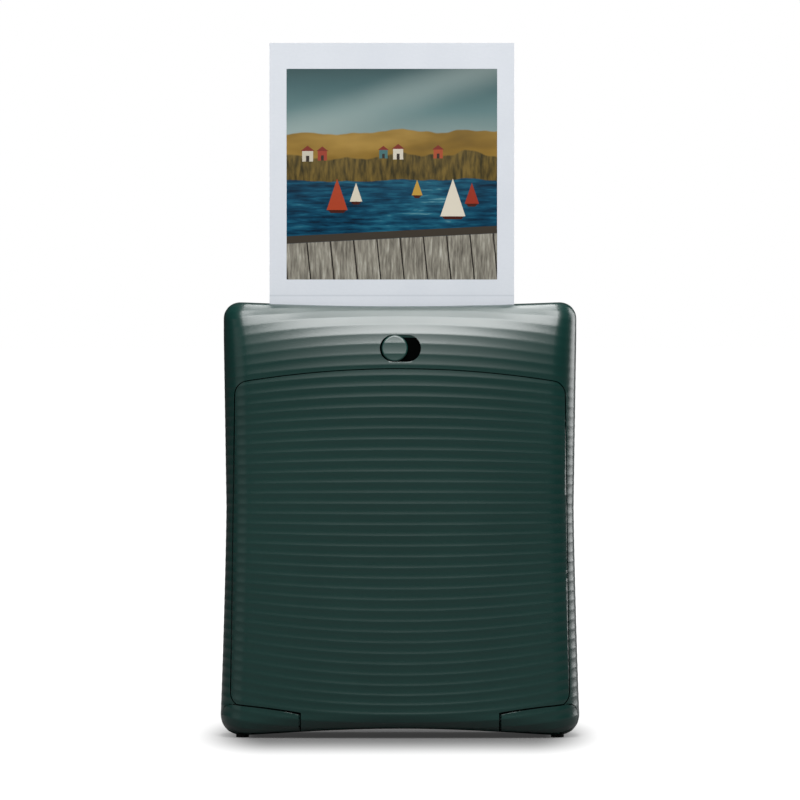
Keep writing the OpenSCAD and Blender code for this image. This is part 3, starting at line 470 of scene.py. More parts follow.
def middle(box, axis):
    """The middle of a box along an axis, in millimetres."""
    return (box[0][axis] + box[1][axis]) / 2 / MM


def cuts(*cutters):
    """The steps that cut each of these away."""
    return [("DIFFERENCE", cutter) for cutter in cutters]


def carve(target, steps):
    """Applies booleans in order; each step is an operation and the solid it works with."""
    for operation, cutter in steps:
        change = target.modifiers.new("cut", "BOOLEAN")
        change.operation = operation
        change.object = cutter
        change.solver = "MANIFOLD"
    graph = bpy.context.evaluated_depsgraph_get()
    mesh = bpy.data.meshes.new_from_object(target.evaluated_get(graph))
    check = bmesh.new()
    check.from_mesh(mesh)
    closed = bool(check.faces) and all(len(edge.link_faces) == 2 for edge in check.edges)
    check.free()
    if not closed:
        raise RuntimeError("the cuts left no closed solid: " + target.name)
    target.modifiers.clear()
    old = target.data
    target.data = mesh
    bpy.data.meshes.remove(old)


def copy_of(source, name):
    """A copy of a piece under a name of its own."""
    made = bpy.data.objects.new(name, source.data.copy())
    bpy.context.scene.collection.objects.link(made)
    return made


def drop(objects):
    """Deletes pieces that were only used to shape others."""
    for item in objects:
        mesh = item.data
        bpy.data.objects.remove(item)
        bpy.data.meshes.remove(mesh)


def smooth(item, degrees):
    """Smooth shading, with edges sharper than an angle kept crisp."""
    item.data.polygons.foreach_set("use_smooth", [True] * len(item.data.polygons))
    item.data.set_sharp_from_angle(angle=math.radians(degrees))


def finished(item, mould, body, slot, *nodes):
    """Gives a piece its finish and body, and hides the nodes it replaces. Its slot is not used."""
    item.data.materials.clear()
    item.data.materials.append(bpy.data.materials[mould])
    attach(item, body)
    if nodes:
        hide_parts(*nodes)


def door_edge(x):
    """Height of the door's top edge, which dips towards the sides."""
    return DOOR_TOP - DOOR_DROP * (abs(x) / (WAIST_W / 2)) ** 2


def rounded(points, radius, grow):
    """Rounds the corners of an outline that turn by more than a little, and grows it."""
    count = len(points)
    after = points[1:] + points[:1]
    area = sum(p[0] * q[1] - q[0] * p[1] for p, q in zip(points, after))
    way = 1 if area > 0 else -1
    made = []
    for i in range(count):
        p = Vector(points[i])
        a = (p - Vector(points[i - 1])).normalized()
        b = (Vector(after[i]) - p).normalized()
        turn = math.atan2(a.cross(b), a.dot(b)) * way
        na, nb = Vector((a.y, -a.x)) * way, Vector((b.y, -b.x)) * way
        if abs(turn) < SLIGHT_TURN:
            made.append(p + (na + nb).normalized() * grow / math.cos(turn / 2))
            continue
        centre = p - (na + nb) * radius / (1 + na.dot(nb))
        for k in range(CORNER_STEPS + 1):
            t = k / CORNER_STEPS
            spin = na * math.sin((1 - t) * turn) + nb * math.sin(t * turn)
            made.append(centre + spin / math.sin(turn) * (radius + grow))
    return [tuple(p) for p in made]


def door_points(gap):
    """The door's outline, grown by a gap."""
    x1, x0 = DOOR_TOP_W / 2, DOOR_BASE_W / 2
    across = [x1 * (1 - 2 * i / DOOR_EDGE_STEPS) for i in range(DOOR_EDGE_STEPS + 1)]
    tongue_z = HINGE_Z + TONGUE_EDGE
    low = [(-x0, DOOR_LOW_Z), (-TONGUE_W / 2, tongue_z), (TONGUE_W / 2, tongue_z),
           (x0, DOOR_LOW_Z)]
    return rounded([(x, door_edge(x)) for x in across] + low, DOOR_CORNER_R, gap)


def door_solid(gap):
    """The space behind the door's outline, less the lower corners' turned steps."""
    made = prism("door_space", door_points(gap), DOOR_EDGE_Y - BODY_D / 2, DOOR_EDGE_Y)
    steps = []
    change = STEP_GAP / 2 * (-1 if gap > 0 else 1)
    for side in (1, -1):
        x0 = side * (TONGUE_W / 2 + gap)
        steps.append(about_hinge("step", x0, x0 + side * STEP_L, STEP_R + change,
                                 STEP_R + change + STEP_L * STEP_RISE))
    front_y, top_z = -BODY_D / 2 - PAST, HINGE_Z + TONGUE_H
    block = [(front_y, HINGE_Z), (HINGE_Y, HINGE_Z), (HINGE_Y, top_z), (front_y, top_z)]
    tongue = prism("tongue", block, -TONGUE_W / 2 - gap, TONGUE_W / 2 + gap, axis=0)
    carve(made, cuts(*steps) + [("UNION", tongue)])
    drop(steps + [tongue])
    return made


def inside_skin():
    """The casing's plain inner skin, one wall inside the outer."""
    turns = np.linspace(0, math.pi / 2, INNER_TURN_RINGS)
    r0, r1 = BASE_FACE_R - WALL, TOP_FACE_R - WALL
    low, top = SHELL_Z0 + WALL, BODY_H - WALL
    z = np.concatenate([low + r0 * (1 - np.cos(turns)),
                        np.linspace(low + r0, top - r1, INNER_STRAIGHT_RINGS)[1:-1],
                        top - r1 * (1 - np.sin(turns))])
    return ring_stack("inside", z, ring_columns(*INNER_COLUMNS), WALL)


def rim_cutter(points):
    """A tapered cutter that bevels the edge of the latch's slot."""
    # The ends at -1 and 0 only tell the outer rim from the inner until they are moved
    made = prism("rim_cut", points, -1, 0)
    rim_y = -float(half_y(LATCH_Z - LATCH_H / 2, 0))
    for vertex in made.data.vertices:
        if vertex.co.y < -0.5 * MM:
            off = vertex.co - Vector((LATCH_X, vertex.co.y / MM, LATCH_Z)) * MM
            vertex.co += off.normalized() * 2 * SLOT_RIM * MM
            vertex.co.y = (rim_y - SLOT_RIM) * MM
        else:
            vertex.co.y = (rim_y + SLOT_RIM) * MM
    return made


def hinge_shade_sheet(name, side, skin):
    """A thin near-black sheet in the gap under one of the door's lower corners: painted shade that
    keeps the gap dark.
    """
    x0, x1 = side * (TONGUE_W / 2 + DOOR_GAP), side * (TONGUE_W / 2 + DOOR_GAP + STEP_L)
    outer_r, inner_r = STEP_R + STEP_GAP / 2 - SHADE_SHEET_BACK, STEP_R - STEP_GAP / 2
    rise = STEP_L * STEP_RISE
    shade_sheet = about_hinge(name, x0, x1, outer_r, outer_r + rise)
    core = about_hinge("core", x0, x1 + side, inner_r, inner_r + rise * (STEP_L + 1) / STEP_L)
    cap = about_hinge("cap", side * (TONGUE_W / 2 + SHADE_SHEET_START), x0 + side * SHADE_SHEET_CAP, TONGUE_R)
    carve(shade_sheet, [("DIFFERENCE", core), ("UNION", cap), ("INTERSECT", skin)])
    drop([core, cap])
    smooth(shade_sheet, 40)
    finished(shade_sheet, "latch_well_mould", "root", "black_trim")


def knob_piece(flutes):
    """The latch's round knob, with the face's flutes across it and a bevelled rim."""
    knob_x = middle(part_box("latch_slider"), 0) - KNOB_SIDE
    count = FINE_SIDES
    rim = KNOB_R - KNOB_BEVEL
    levels = [(rim * i / KNOB_RINGS, 0) for i in range(1, KNOB_RINGS + 1)]
    levels += [(rim + KNOB_BEVEL * t, KNOB_BEVEL * (1 - math.sqrt(1 - t * t)))
               for t in KNOB_BEVEL_SHARES]
    levels.append((KNOB_R, KNOB_DEPTH))
    corners = [(knob_x, KNOB_PROUD, LATCH_Z)]
    for radius, depth in levels:
        corners += [(x, KNOB_PROUD + depth, z)
                    for x, z in circle_points(knob_x, LATCH_Z, radius, count)]
    places = np.array(corners)
    hollow = flutes.cut(places[:, 2] - flutes.mid, 0 * places[:, 2], 0.0)
    places[:, 1] += hollow - half_y(places[:, 2], 0)
    faces = [(0, 1 + j, 1 + (j + 1) % count) for j in range(count)]
    for i in range(len(levels) - 1):
        a = 1 + i * count
        faces += [(a + j, a + count + j, a + count + (j + 1) % count, a + (j + 1) % count)
                  for j in range(count)]
    last = 1 + (len(levels) - 1) * count
    faces.append(tuple(range(last, last + count)))
    made = add_piece("latch_knob", (places * MM).tolist(), faces)
    face_out(made.data)
    return made


# ---- finishes ----

def moulding(name, colour, grain, roughness, **constants):
    """Moulded plastic with a fine eroded grain and slightly uneven gloss."""
    made = Finish(name, **constants)
    place = made.place()
    cloud = made.noise(place, 45.0, 3.0)
    fine = made.noise(place, 2600.0, 2.0, 0.6)
    light = tuple(min(1, c * 1.12 + 0.001) for c in colour)
    dark = tuple(c * 0.88 for c in colour)
    return made.feed(Base_Color=made.mix(cloud, dark, light),
                     Roughness=roughness - 0.05 + 0.1 * cloud + 0.06 * (fine - 0.5),
                     Normal=made.bump(fine, grain, 0.00004))


def turned_metal(name, colour, roughness=0.3):
    """Drawn or turned metal with fine lines along it."""
    made = Finish(name, Metallic=1.0)
    place = made.place()
    lines = made.noise(made.stretch(place, (60, 3000, 3000)), 1.0, 2.0)
    cloud = made.noise(place, 120.0, 2.0)
    dark = tuple(c * 0.82 for c in colour)
    return made.feed(Base_Color=made.mix(cloud, dark, colour),
                     Roughness=roughness + 0.16 * (lines - 0.5) + 0.08 * (cloud - 0.5),
                     Normal=made.bump(lines, 0.15, 0.00003))


def rubber(name, colour):
    """Matt rubber with pale dust in its grain."""
    made = Finish(name, Specular_IOR_Level=0.25)
    place = made.place()
    dust = made.noise(place, 700.0, 4.0, 0.7)
    light = tuple(c * 1.5 + 0.004 for c in colour)
    return made.feed(Base_Color=made.mix(made.step(dust, 0.45, 0.8), colour, light),
                     Roughness=0.72 + 0.15 * dust, Normal=made.bump(dust, 0.3, 0.00005))


def print_sheet_finish():
    """Pale film sheet with a faint crepe and a fold line low in its border."""
    made = Finish("print_pale", IOR=1.48)
    place = made.place()
    z = made.axes(place)[2]
    crepe = made.noise(made.stretch(place, (1, 1, 1.6)), 900.0, 3.0, 0.6)
    cloud = made.noise(place, 60.0, 2.0)
    fold_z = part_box("print_sheet")[1][2] - FOLD_DOWN
    line = 1 - made.step(abs(z - fold_z), 0.0001, 0.00035)
    tint = made.mix(cloud, srgb(214, 219, 226), srgb(226, 230, 236))
    tint = made.mix(crepe * 0.25, tint, srgb(198, 205, 214))
    return made.feed(Base_Color=made.mix(line * 0.5, tint, srgb(190, 196, 204)),
                     Roughness=0.34 + 0.2 * crepe, Normal=made.bump(crepe, 0.35, 0.00008))


# Sails and huts of the picture: place across and up, half width and height, all as shares of
# the picture's width and height, and colour
SAILS = ((0.24, 0.33, 0.05, 0.15, (168, 66, 40)), (0.33, 0.37, 0.03, 0.09, (214, 206, 186)),
         (0.62, 0.40, 0.026, 0.075, (190, 150, 64)), (0.79, 0.30, 0.06, 0.18, (222, 214, 196)),
         (0.88, 0.36, 0.034, 0.10, (150, 52, 36)))
HUTS = ((0.10, 0.56, 0.026, 0.05, (204, 196, 178)), (0.17, 0.565, 0.022, 0.045, (156, 60, 42)),
        (0.46, 0.575, 0.02, 0.04, (72, 112, 112)), (0.53, 0.57, 0.024, 0.05, (214, 206, 188)),
        (0.72, 0.575, 0.022, 0.042, (170, 76, 44)))


def picture_finish():
    """Glossy picture: a shore at dusk, with sky, dunes, water and a plank deck."""
    made = Finish("picture_gloss", Roughness=0.16, Coat_Weight=0.6, Coat_Roughness=0.06)
    place = made.place()
    low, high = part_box("print_image")
    x, _, z = made.axes(place)
    u = (x - low[0]) / (high[0] - low[0])
    v = (z - low[2]) / (high[2] - low[2])
    wave = made.noise(place, 55.0, 3.0)
    soft = made.noise(made.stretch(place, (0.35, 1, 1)), 90.0, 3.0, 0.6)
    sky = made.ramp(v + 0.06 * (soft - 0.5),
                    [(0.70, srgb(132, 152, 150)), (0.80, srgb(96, 128, 130)),
                     (0.92, srgb(64, 98, 102)), (1.0, srgb(44, 76, 80))])
    beam = made.step(1 - abs(v - 0.70 - 0.34 * u + 0.04 * wave) * 7.0, 0.0, 1.0)
    sky = made.mix(beam * 0.4, sky, srgb(176, 192, 188))
    ridge = made.noise(made.stretch(place, (1, 1, 0)), 42.0, 3.0, 0.45)
    dune_line = 0.62 + 0.16 * ridge
    sand = made.ramp(soft, [(0.25, srgb(84, 62, 16)), (0.5, srgb(136, 104, 34)),
                            (0.75, srgb(178, 142, 66))])
    scene_colour = made.mix(made.step(v - dune_line, -0.004, 0.004), sand, sky)
    near = made.noise(made.stretch(place, (1, 1, 0)), 75.0, 2.0, 0.5)
    grass = made.ramp(made.noise(made.stretch(place, (1, 1, 0.25)), 900.0, 2.0),
                      [(0.3, srgb(52, 44, 18)), (0.7, srgb(120, 98, 44))])
    scene_colour = made.mix(made.step(0.52 + 0.13 * near - v, -0.004, 0.006), scene_colour, grass)
    ripple = made.noise(made.stretch(place, (0.3, 1, 2.2)), 380.0, 3.0, 0.6)
    water = made.ramp(ripple + 0.5 * (wave - 0.5),
                      [(0.3, srgb(6, 34, 54)), (0.5, srgb(12, 66, 92)),
                       (0.68, srgb(30, 98, 122)), (0.8, srgb(96, 146, 156))])
    shore = 0.47 + 0.05 * (near - 0.5)
    scene_colour = made.mix(made.step(shore - v, -0.003, 0.004), scene_colour, water)
    plank = made.node("ShaderNodeMath", {"operation": "FRACT"}, [u * 9.0 + 0.9 * v])
    plank_gap = made.step(0.06 - plank, -0.02, 0.02)
    grain = made.noise(made.stretch(place, (1, 1, 0.12)), 1500.0, 3.0, 0.6)
    wood = made.ramp(grain, [(0.3, srgb(96, 92, 84)), (0.55, srgb(146, 142, 130)),
                             (0.75, srgb(186, 184, 172))])
    wood = made.mix(plank_gap, wood, srgb(40, 36, 32))
    deck = made.step(0.17 + 0.05 * u - v, -0.002, 0.002)
    scene_colour = made.mix(deck, scene_colour, wood)
    edge = made.step(0.205 + 0.05 * u - v, -0.002, 0.002) - deck
    scene_colour = made.mix(edge, scene_colour, srgb(64, 58, 50))
    for u0, v0, wide, tall, colour in SAILS:
        off = abs(u - u0)
        leaf = made.step((1 - off / wide) * tall - (v - v0), -0.001, 0.003) * (v > v0)
        scene_colour = made.mix(leaf, scene_colour, srgb(*colour))
        hull = made.step(wide * 0.9 - off - (v0 - v), -0.001, 0.002) * (v < v0) * (v > v0 - 0.014)
        scene_colour = made.mix(hull, scene_colour, srgb(70, 30, 22))
    for u0, v0, wide, tall, colour in HUTS:
        off = abs(u - u0)
        wall = (off < wide) * (v > v0) * (v < v0 + tall)
        scene_colour = made.mix(wall, scene_colour, srgb(*colour))
        roof = ((1 - off / (1.3 * wide)) * wide > v - v0 - tall) * (v > v0 + tall)
        scene_colour = made.mix(roof, scene_colour, srgb(126, 44, 30))
        door = (off < wide * 0.3) * (v > v0) * (v < v0 + tall * 0.55)
        scene_colour = made.mix(door, scene_colour, srgb(52, 40, 34))
    haze = made.step(v + 0.25 * (wave - 0.5), 0.2, 1.1)
    return made.feed(Base_Color=made.mix(haze * 0.18, scene_colour, srgb(128, 138, 134)))


def battery_foil():
    """Creased metal foil."""
    made = Finish("battery_foil", Metallic=0.9)
    crease = made.noise(made.place(), 220.0, 3.0)
    return made.feed(Base_Color=made.mix(crease, srgb(150, 154, 160), srgb(196, 200, 206)),
                     Roughness=0.28 + 0.2 * crease, Normal=made.bump(crease, 0.3, 0.0002))


def circuit_board():
    """Lacquered board with faint tracks."""
    made = Finish("board_lacquer", Coat_Weight=0.4)
    place = made.place()
    tracks = made.node("ShaderNodeTexVoronoi", {"feature": "DISTANCE_TO_EDGE"},
                       {"Vector": place, "Scale": 330.0})
    mask = 1 - made.step(tracks, 0.03, 0.06)
    return made.feed(Base_Color=made.mix(mask, srgb(18, 74, 44), srgb(44, 112, 66)),
                     Roughness=0.3 + 0.1 * mask, Normal=made.bump(mask, 0.2, 0.00005))


def clear_plastic(name, colour):
    """Milky light guide or clear lens, drawn as a bright smooth solid."""
    made = Finish(name, Coat_Weight=0.5, Coat_Roughness=0.08)
    cloud = made.noise(made.place(), 90.0, 2.0)
    pale = tuple(c * 0.75 for c in colour)
    return made.feed(Base_Color=made.mix(cloud, pale, colour), Roughness=0.2 + 0.1 * cloud)


def finishes(colours):
    """The finish of every slot, by the slot's name, and the near-black finish that paints shade on
    the latch plate and in the door's gaps.
    """
    casing = tuple(colours.casing)
    return {
        "shell_green": moulding("shell_green_mould", casing, 0.3, 0.32,
                                Specular_IOR_Level=0.3, Coat_Weight=0.8, Coat_Roughness=0.3),
        "knob_green": moulding("knob_green_mould", tuple(c * 1.2 for c in casing), 0.3, 0.34,
                               Coat_Weight=0.5, Coat_Roughness=0.3),
        "black_trim": moulding("trim_black_mould", srgb(20, 22, 23), 0.3, 0.5),
        # Near black with no reflection: painted shade, on the sheets in the door's gaps and, over
        # its own black, on the latch plate
        "painted_shade": moulding("latch_well_mould", srgb(2, 3, 3), 0.3, 0.8,
                               Specular_IOR_Level=0.0),
        "black_frame": moulding("frame_black_mould", srgb(24, 26, 28), 0.5, 0.55),
        "cassette_black": moulding("cassette_mould", srgb(26, 26, 28), 0.5, 0.42),
        "chip_black": moulding("chip_mould", srgb(22, 22, 24), 0.4, 0.6),
        "gear_white": moulding("gear_mould", srgb(222, 220, 208), 0.2, 0.38),
        "flex_amber": moulding("flex_film", srgb(190, 116, 34), 0.1, 0.25, Coat_Weight=0.5),
        "rubber_feet": rubber("feet_rubber", srgb(16, 17, 17)),
        "seal_foam": rubber("seal_black_foam", srgb(10, 10, 11)),
        "roller_rubber": rubber("roller_sleeve", srgb(52, 54, 56)),
        "steel_parts": turned_metal("steel_drawn", srgb(188, 190, 194)),
        "pinion_brass": turned_metal("brass_turned", srgb(204, 168, 92), 0.25),
        "print_white": print_sheet_finish(),
        "print_picture": picture_finish(),
        "print_black": moulding("print_back_film", srgb(12, 12, 13), 0.2, 0.3),
        "lens_clear": clear_plastic("lens_strip", srgb(190, 214, 226)),
        "ring_clear": clear_plastic("ring_guide", srgb(226, 234, 234)),
        "board_green": circuit_board(),
        "battery_silver": battery_foil(),
    }


# ---- what a user would change ----

class FluteSizes(bpy.types.PropertyGroup):
    """Sizes of the flutes round the casing."""

    pitch: bpy.props.FloatProperty(
        name="Pitch", description="Distance between crests at mid face",
        default=3.15 * MM, unit="LENGTH", precision=5)
    depth: bpy.props.FloatProperty(
        name="Depth", description="Depth of a flute below its crests",
        default=0.155 * MM, unit="LENGTH", precision=5)
    fan: bpy.props.FloatProperty(
        name="Fan", description="Share by which flutes close up at the sides",
        default=0.105, min=0, max=0.2)
    straight_z: bpy.props.FloatProperty(
        name="Straight crest", description="Height of the straight crest",
        default=68.87 * MM, unit="LENGTH", precision=5)
    ring_step: bpy.props.FloatProperty(
        name="Ring step", description="Spacing of the mesh rings",
        default=0.27 * MM, unit="LENGTH", precision=5)


class CasingColours(bpy.types.PropertyGroup):
    """Colours of the casing and the studio floor."""

    casing: bpy.props.FloatVectorProperty(
        name="Casing", description="Colour of the moulded casing",
        subtype="COLOR", size=3, default=srgb(6, 48, 43))
    floor: bpy.props.FloatVectorProperty(
        name="Floor", description="Colour of the studio floor",
        subtype="COLOR", size=3, default=(0.16, 0.16, 0.16))


class StudioSizes(bpy.types.PropertyGroup):
    """Camera and lamps of the studio."""

    distance: bpy.props.FloatProperty(
        name="Camera distance", description="Camera to the film door",
        default=2.4, unit="LENGTH")
    eye: bpy.props.FloatProperty(
        name="Camera height", description="Height of the lens",
        default=0.16, unit="LENGTH", precision=4)
    aim: bpy.props.FloatProperty(
        name="Aim height", description="Height the camera looks at",
        default=0.0994, unit="LENGTH", precision=4)
    view_width: bpy.props.FloatProperty(
        name="View width", description="Width seen at the film door",
        default=0.2341, unit="LENGTH", precision=4)
    top_light: bpy.props.FloatProperty(
        name="Top lamp", description="Power of the lamp overhead",
        default=7.5, unit="POWER")
    front_light: bpy.props.FloatProperty(
        name="Front lamp", description="Power of the high front lamp",
        default=20.0, unit="POWER")
    low_light: bpy.props.FloatProperty(
        name="Low lamp", description="Power of the low front lamp",
        default=1.9, unit="POWER")
    side_light: bpy.props.FloatProperty(
        name="Side lamp", description="Power of the lamp on the right",
        default=3.6, unit="POWER")
    left_light: bpy.props.FloatProperty(
        name="Left lamp", description="Power of the lamp on the left",
        default=1.0, unit="POWER")
    fill: bpy.props.FloatProperty(
        name="Fill", description="Brightness of the room's light", default=0.04)


# ---- operators ----

class PRINTER_OT_finishes(bpy.types.Operator):
    """Gives every carried-over piece its finish"""

    bl_idname = "printer.finishes"
    bl_label = "Dress the mechanism"

    def execute(self, context):
        made = finishes(context.scene.printer_colours)
        for entry in frame["record"]["subparts"]:
            item = frame["nodes"][entry["node"]]
            item.data.materials.clear()
            item.data.materials.append(made[entry["material_slot"]])
        return {"FINISHED"}


class PRINTER_OT_casing(bpy.types.Operator):
    """Builds the fluted casing halves, the film door and, beside its tongue, dark sheets that
    paint shade in the gaps
    """

    bl_idname = "printer.casing"
    bl_label = "Casing and film door"

    def execute(self, context):
        flutes = Pitch(context.scene.printer_flutes)
        z, length, angle = flutes.heights(context.scene.printer_flutes.ring_step / MM)
        outer = ring_stack("skin", z, ring_columns(*OUTER_COLUMNS), 0.0, flutes, length, angle)
        inner = inside_skin()
        block = [(-BODY_W, -PAST), (BODY_W, -PAST), (BODY_W, BODY_H + PAST),
                 (-BODY_W, BODY_H + PAST)]
        front_space = prism("front_space", block, PARTING_Y - PARTING_GAP / 2, BODY_D)
        back_space = prism("back_space", block, -BODY_D, PARTING_Y + PARTING_GAP / 2)
        opening = door_solid(DOOR_GAP)
        leaf = door_solid(0)
        reach = TONGUE_W / 2 + DOOR_GAP
        under = prism("under", [(-BODY_D, -PAST), (HINGE_Y, -PAST), (HINGE_Y, HINGE_Z + PAST),
                                (-BODY_D, HINGE_Z + PAST)], -reach, reach, axis=0)
        sweep = about_hinge("sweep", -reach, reach, TONGUE_R + TONGUE_ROOM)
        barrel = about_hinge("barrel", -TONGUE_W / 2, TONGUE_W / 2, TONGUE_R)
        ears = [about_hinge("ear", side * TONGUE_W / 2, side * EAR_END, KNUCKLE_CUT_R)
                for side in (1, -1)]
        knuckle = about_hinge("knuckle", -TONGUE_W, TONGUE_W, KNUCKLE_CUT_R)
        latch_points = stadium_points(LATCH_X, LATCH_Z, LATCH_L, LATCH_H)
        latch_cut = prism("latch_cut", latch_points, -BODY_D / 2 - PAST,
                          -BODY_D / 2 + WALL + PAST)
        rim_cut = rim_cutter(latch_points)
        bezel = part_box("slot_bezel")
        slot_l = (bezel[1][0] - bezel[0][0]) / MM + SLOT_ROOM
        slot_points = stadium_points(middle(bezel, 0), middle(bezel, 1), slot_l, 2 * SLOT_R)
        exit_cut = prism("exit_cut", slot_points, BODY_H - TOP_IN, BODY_H + PAST, axis=2)
        side_points = stadium_points(SIDE_Y, SIDE_Z, SIDE_L, SIDE_H, upright=True)
        side_cut = prism("side_cut", side_points, WAIST_W / 2 - SIDE_IN, WAIST_W / 2 + SIDE_OUT,
                         axis=0)
        socket_points = stadium_points(SIDE_Y, SOCKET_Z, SOCKET_L, SOCKET_H, upright=True)
        socket_cut = prism("socket_cut", socket_points, -WAIST_W / 2 - SIDE_OUT,
                           -WAIST_W / 2 + SIDE_IN, axis=0)
        ring_z = middle(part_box("light_ring"), 2)
        ring_cut = prism("ring_cut", circle_points(0, ring_z, LIGHT_RING_R, FINE_SIDES),
                         RING_CUT_Y, BODY_D)
        foot_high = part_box("feet")[1]
        foot_x = foot_high[0] / MM - FOOT_R + FOOT_ROOM
        foot_y = foot_high[1] / MM - FOOT_R + FOOT_ROOM
        feet = [prism("foot_cut", circle_points(x, y, FOOT_R), -PAST, FOOT_TOP, axis=2)
                for x in (-foot_x, foot_x) for y in (-foot_y, foot_y)]
        back = copy_of(outer, "back_case_skin")
        front = copy_of(outer, "front_case_skin")
        door = copy_of(outer, "film_door_skin")
        carve(back, cuts(inner, front_space, opening, under, sweep, latch_cut, rim_cut, exit_cut,
                         side_cut, socket_cut, *ears, *feet))
        carve(front, cuts(inner, back_space, ring_cut, *feet))
        carve(leaf, [("UNION", barrel)])
        carve(door, [("INTERSECT", leaf), *cuts(inner, knuckle)])
        hinge_shade_sheet("hinge_shim_right", 1, outer)
        hinge_shade_sheet("hinge_shim_left", -1, outer)
        for item, body, node in ((back, "root", "back_case"), (front, "root", "front_case"),
                                 (door, "door", "film_door")):
            smooth(item, 50)
            finished(item, "shell_green_mould", body, "shell_green", node)
        drop([outer, inner, front_space, back_space, opening, leaf, under, sweep, barrel, knuckle,
              latch_cut, rim_cut, exit_cut, side_cut, socket_cut, ring_cut, *ears, *feet])
        return {"FINISHED"}


class PRINTER_OT_latch(bpy.types.Operator):
    """Builds the latch: a plate and its rail behind the slot, the plate near black as painted
    shade of the well, and a fluted round knob
    """

    bl_idname = "printer.latch"
    bl_label = "Latch plate and knob"

    def execute(self, context):
        slider, guide = frame["nodes"]["latch_slider"], frame["nodes"]["latch_guide"]
        plate, rail = copy_of(slider, "latch_plate"), copy_of(guide, "latch_rail")
        for vertex in [*plate.data.vertices, *rail.data.vertices]:
            room = half_y(vertex.co.z / MM, 0) - THIN_WALL - RAIL_ROOM
            vertex.co.y = max(vertex.co.y, -room * MM)
        smooth(plate, 30)
        smooth(rail, 30)
        # The plate is near black with no reflection, darker than its own black trim: part its own
        # colour, part painted shade of the well
        finished(plate, "latch_well_mould", "latch", "black_trim", "latch_slider")
        finished(rail, "frame_black_mould", "root", "black_frame", "latch_guide")
        knob = knob_piece(Pitch(context.scene.printer_flutes))
        smooth(knob, 50)
        finished(knob, "knob_green_mould", "latch", "knob_green")
        return {"FINISHED"}


# Half the floor's width, in metres
FLOOR_REACH = 6.0

# The lamps: size, place and aim in metres, and the setting that holds the power
LAMPS = (("lamp_overhead", (0.25, 1.0), (0.03, 0.1, 1.0), (0.03, 0.1, 0), "top_light"),
         ("lamp_high_front", (0.65, 0.7), (0.03, -0.86, 1.16), (0, 0, 0.1), "front_light"),
         ("lamp_low_front", (0.7, 0.8), (0.0, -1.5, 0.82), (0, 0, 0.11), "low_light"),
         ("lamp_left", (0.9, 0.8), (-1.1, -0.8, 0.35), (0, 0, 0.08), "left_light"),
         ("lamp_right", (0.5, 0.8), (0.7, 0.42, 0.3), (0, 0, 0.08), "side_light"))

# Width of the camera's sensor, in millimetres
SENSOR_W = 36.0

# The floor's glow, weak near the casing so that it paints most of the casing's shadow: half
# the length in metres of the painted shadow strip under the casing, how much faster the glow
# rises past its ends, the distances over which the near and the far part rise, and what share
# of the glow the even, the near and the far part have
SHADOW_HALF, PAST_SHADOW = 0.037, 4.0
NEAR_GLOW, FAR_GLOW = (0.02, 0.102), (0.08, 0.45)
EVEN_SHARE, NEAR_SHARE, FAR_SHARE = 0.04, 0.8, 0.16


def lamp(name, size, place, aim, power):
    """A soft rectangular lamp at a place, turned towards a point."""
    data = bpy.data.lights.new(name, "AREA")
    data.shape = "RECTANGLE"
    data.size, data.size_y = size
    data.energy = power
    item = bpy.data.objects.new(name, data)
    bpy.context.scene.collection.objects.link(item)
    item.location = place
    item.rotation_euler = (Vector(aim) - Vector(place)).to_track_quat("-Z", "Y").to_euler()


def floor_paint(colour):
    """Matt floor that glows white for the camera away from the casing; its weak glow near the
    casing paints most of the shadow there, over the faint real one.
    """
    paint = Finish("floor_paint", Roughness=0.9, Specular_IOR_Level=0.0)
    seen = paint.node("ShaderNodeLightPath", out="Is Camera Ray")
    spot = paint.node("ShaderNodeVectorMath", {"operation": "ABSOLUTE"}, [paint.place()])
    away = paint.node("ShaderNodeVectorMath", {"operation": "LENGTH"}, [spot], out=1)
    aside, ahead, _ = paint.axes(spot)
    past = paint.node("ShaderNodeMath", {"operation": "MAXIMUM"},
                      [aside - SHADOW_HALF, 0.0]) * PAST_SHADOW
    # near: 0 in the painted shadow under the casing, rising to 1 clear of it
    near = paint.step((past * past + ahead * ahead) ** 0.5, *NEAR_GLOW)
    far = paint.step(away, *FAR_GLOW)
    glow = paint.node("ShaderNodeEmission", None, {"Color": (1.0, 1.0, 1.0), "Strength": 1.0})
    nothing = paint.node("ShaderNodeEmission", None, {"Color": (0.0, 0.0, 0.0), "Strength": 0.0})
    share = seen * (EVEN_SHARE + NEAR_SHARE * near + FAR_SHARE * far)
    extra = paint.node("ShaderNodeMixShader", None, [share, nothing, glow])
    plain = Sock(paint, paint.shader.outputs[0])
    total = paint.node("ShaderNodeAddShader", None, [plain, extra])
    paint.links.new(total.out, paint.nodes["Material Output"].inputs["Surface"])
    tone = paint.noise(paint.place(), 2.0)
    light = tuple(min(1, c * 1.02) for c in colour)
    return paint.feed(Base_Color=paint.mix(tone, colour, light))


def room_light(fill):
    """A world that is white where the camera sees it and lights the part by the fill."""
    world = bpy.data.worlds.new("studio_world")
    world.use_nodes = True
    nodes, links = world.node_tree.nodes, world.node_tree.links
    path = nodes.new("ShaderNodeLightPath")
    seen_by = nodes.new("ShaderNodeMath")
    seen_by.operation = "MAXIMUM"
    links.new(path.outputs["Is Camera Ray"], seen_by.inputs[0])
    links.new(path.outputs["Is Transmission Ray"], seen_by.inputs[1])
    level = nodes.new("ShaderNodeMapRange")
    level.inputs["To Min"].default_value = fill
    links.new(seen_by.outputs[0], level.inputs["Value"])
    links.new(level.outputs[0], nodes["Background"].inputs["Strength"])
    nodes["Background"].inputs["Color"].default_value = (1, 1, 1, 1)
    return world


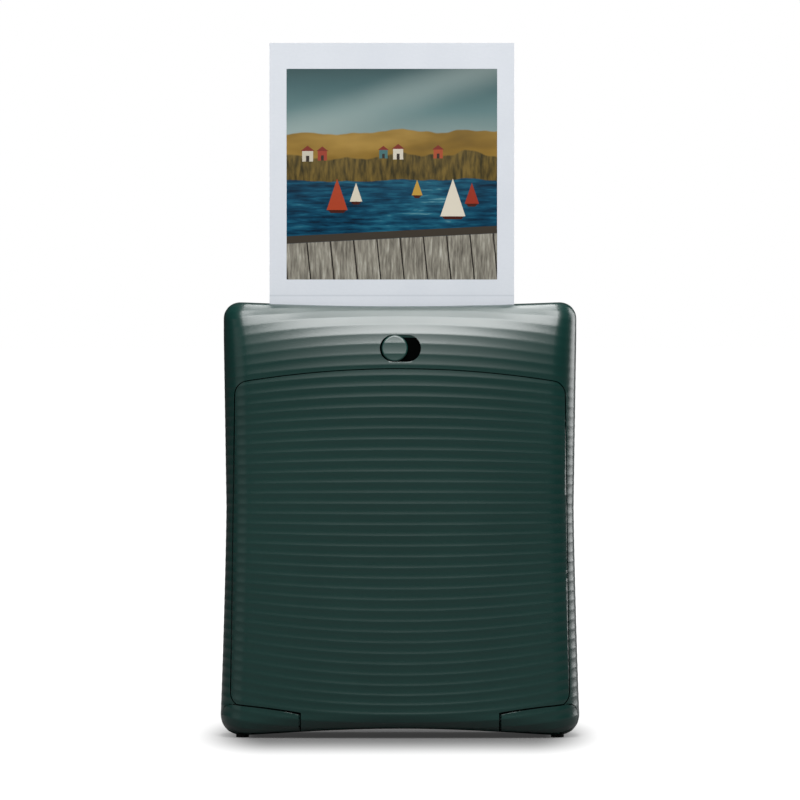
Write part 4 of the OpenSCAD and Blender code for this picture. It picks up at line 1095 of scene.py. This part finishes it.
class PRINTER_OT_stage(bpy.types.Operator):
    """Sets the floor, the soft studio light and the camera"""

    bl_idname = "printer.stage"
    bl_label = "Studio"

    def execute(self, context):
        scene = context.scene
        studio = scene.printer_studio
        scene.view_settings.view_transform = "Standard"
        reach = FLOOR_REACH
        floor = add_piece("studio_floor", [(-reach, -reach, 0), (reach, -reach, 0),
                                           (reach, reach, 0), (-reach, reach, 0)], [(0, 1, 2, 3)])
        floor.data.materials.append(floor_paint(tuple(scene.printer_colours.floor)))
        scene.world = room_light(studio.fill)
        for name, size, place, aim, setting in LAMPS:
            lamp(name, size, place, aim, getattr(studio, setting))
        camera_data = bpy.data.cameras.new("camera")
        camera_data.sensor_width = SENSOR_W
        camera_data.lens = SENSOR_W * studio.distance / studio.view_width
        camera = bpy.data.objects.new("camera", camera_data)
        scene.collection.objects.link(camera)
        camera.location = (0, -BODY_D / 2 * MM - studio.distance, studio.eye)
        tilt = math.atan2(studio.eye - studio.aim, studio.distance)
        camera.rotation_euler = (math.pi / 2 - tilt, 0, 0)
        scene.camera = camera
        return {"FINISHED"}


class PRINTER_PT_panel(bpy.types.Panel):
    """Lists the steps that build the printer's looks"""

    bl_label = "Photo printer"
    bl_idname = "PRINTER_PT_panel"
    bl_space_type = "VIEW_3D"
    bl_region_type = "UI"
    bl_category = "Printer"

    def draw(self, context):
        for group in ("printer_flutes", "printer_colours", "printer_studio"):
            box = self.layout.box()
            settings = getattr(context.scene, group)
            for name in settings.__annotations__:
                box.prop(settings, name)
        for step in STEPS:
            self.layout.operator(step.bl_idname)


STEPS = (PRINTER_OT_stage, PRINTER_OT_finishes, PRINTER_OT_casing, PRINTER_OT_latch)
GROUPS = {"printer_flutes": FluteSizes, "printer_colours": CasingColours,
          "printer_studio": StudioSizes}


def register():
    """Registers the settings, the operators and the panel."""
    for item in (*GROUPS.values(), *STEPS, PRINTER_PT_panel):
        bpy.utils.register_class(item)
    for name, group in GROUPS.items():
        setattr(bpy.types.Scene, name, bpy.props.PointerProperty(type=group))


def unregister():
    """Takes back what register() added."""
    for name in GROUPS:
        delattr(bpy.types.Scene, name)
    for item in (PRINTER_PT_panel, *reversed(STEPS), *GROUPS.values()):
        bpy.utils.unregister_class(item)


def main():
    register()
    bpy.ops.printer.stage()
    bpy.ops.printer.finishes()
    bpy.ops.printer.casing()
    bpy.ops.printer.latch()


if __name__ == "__main__":
    main()
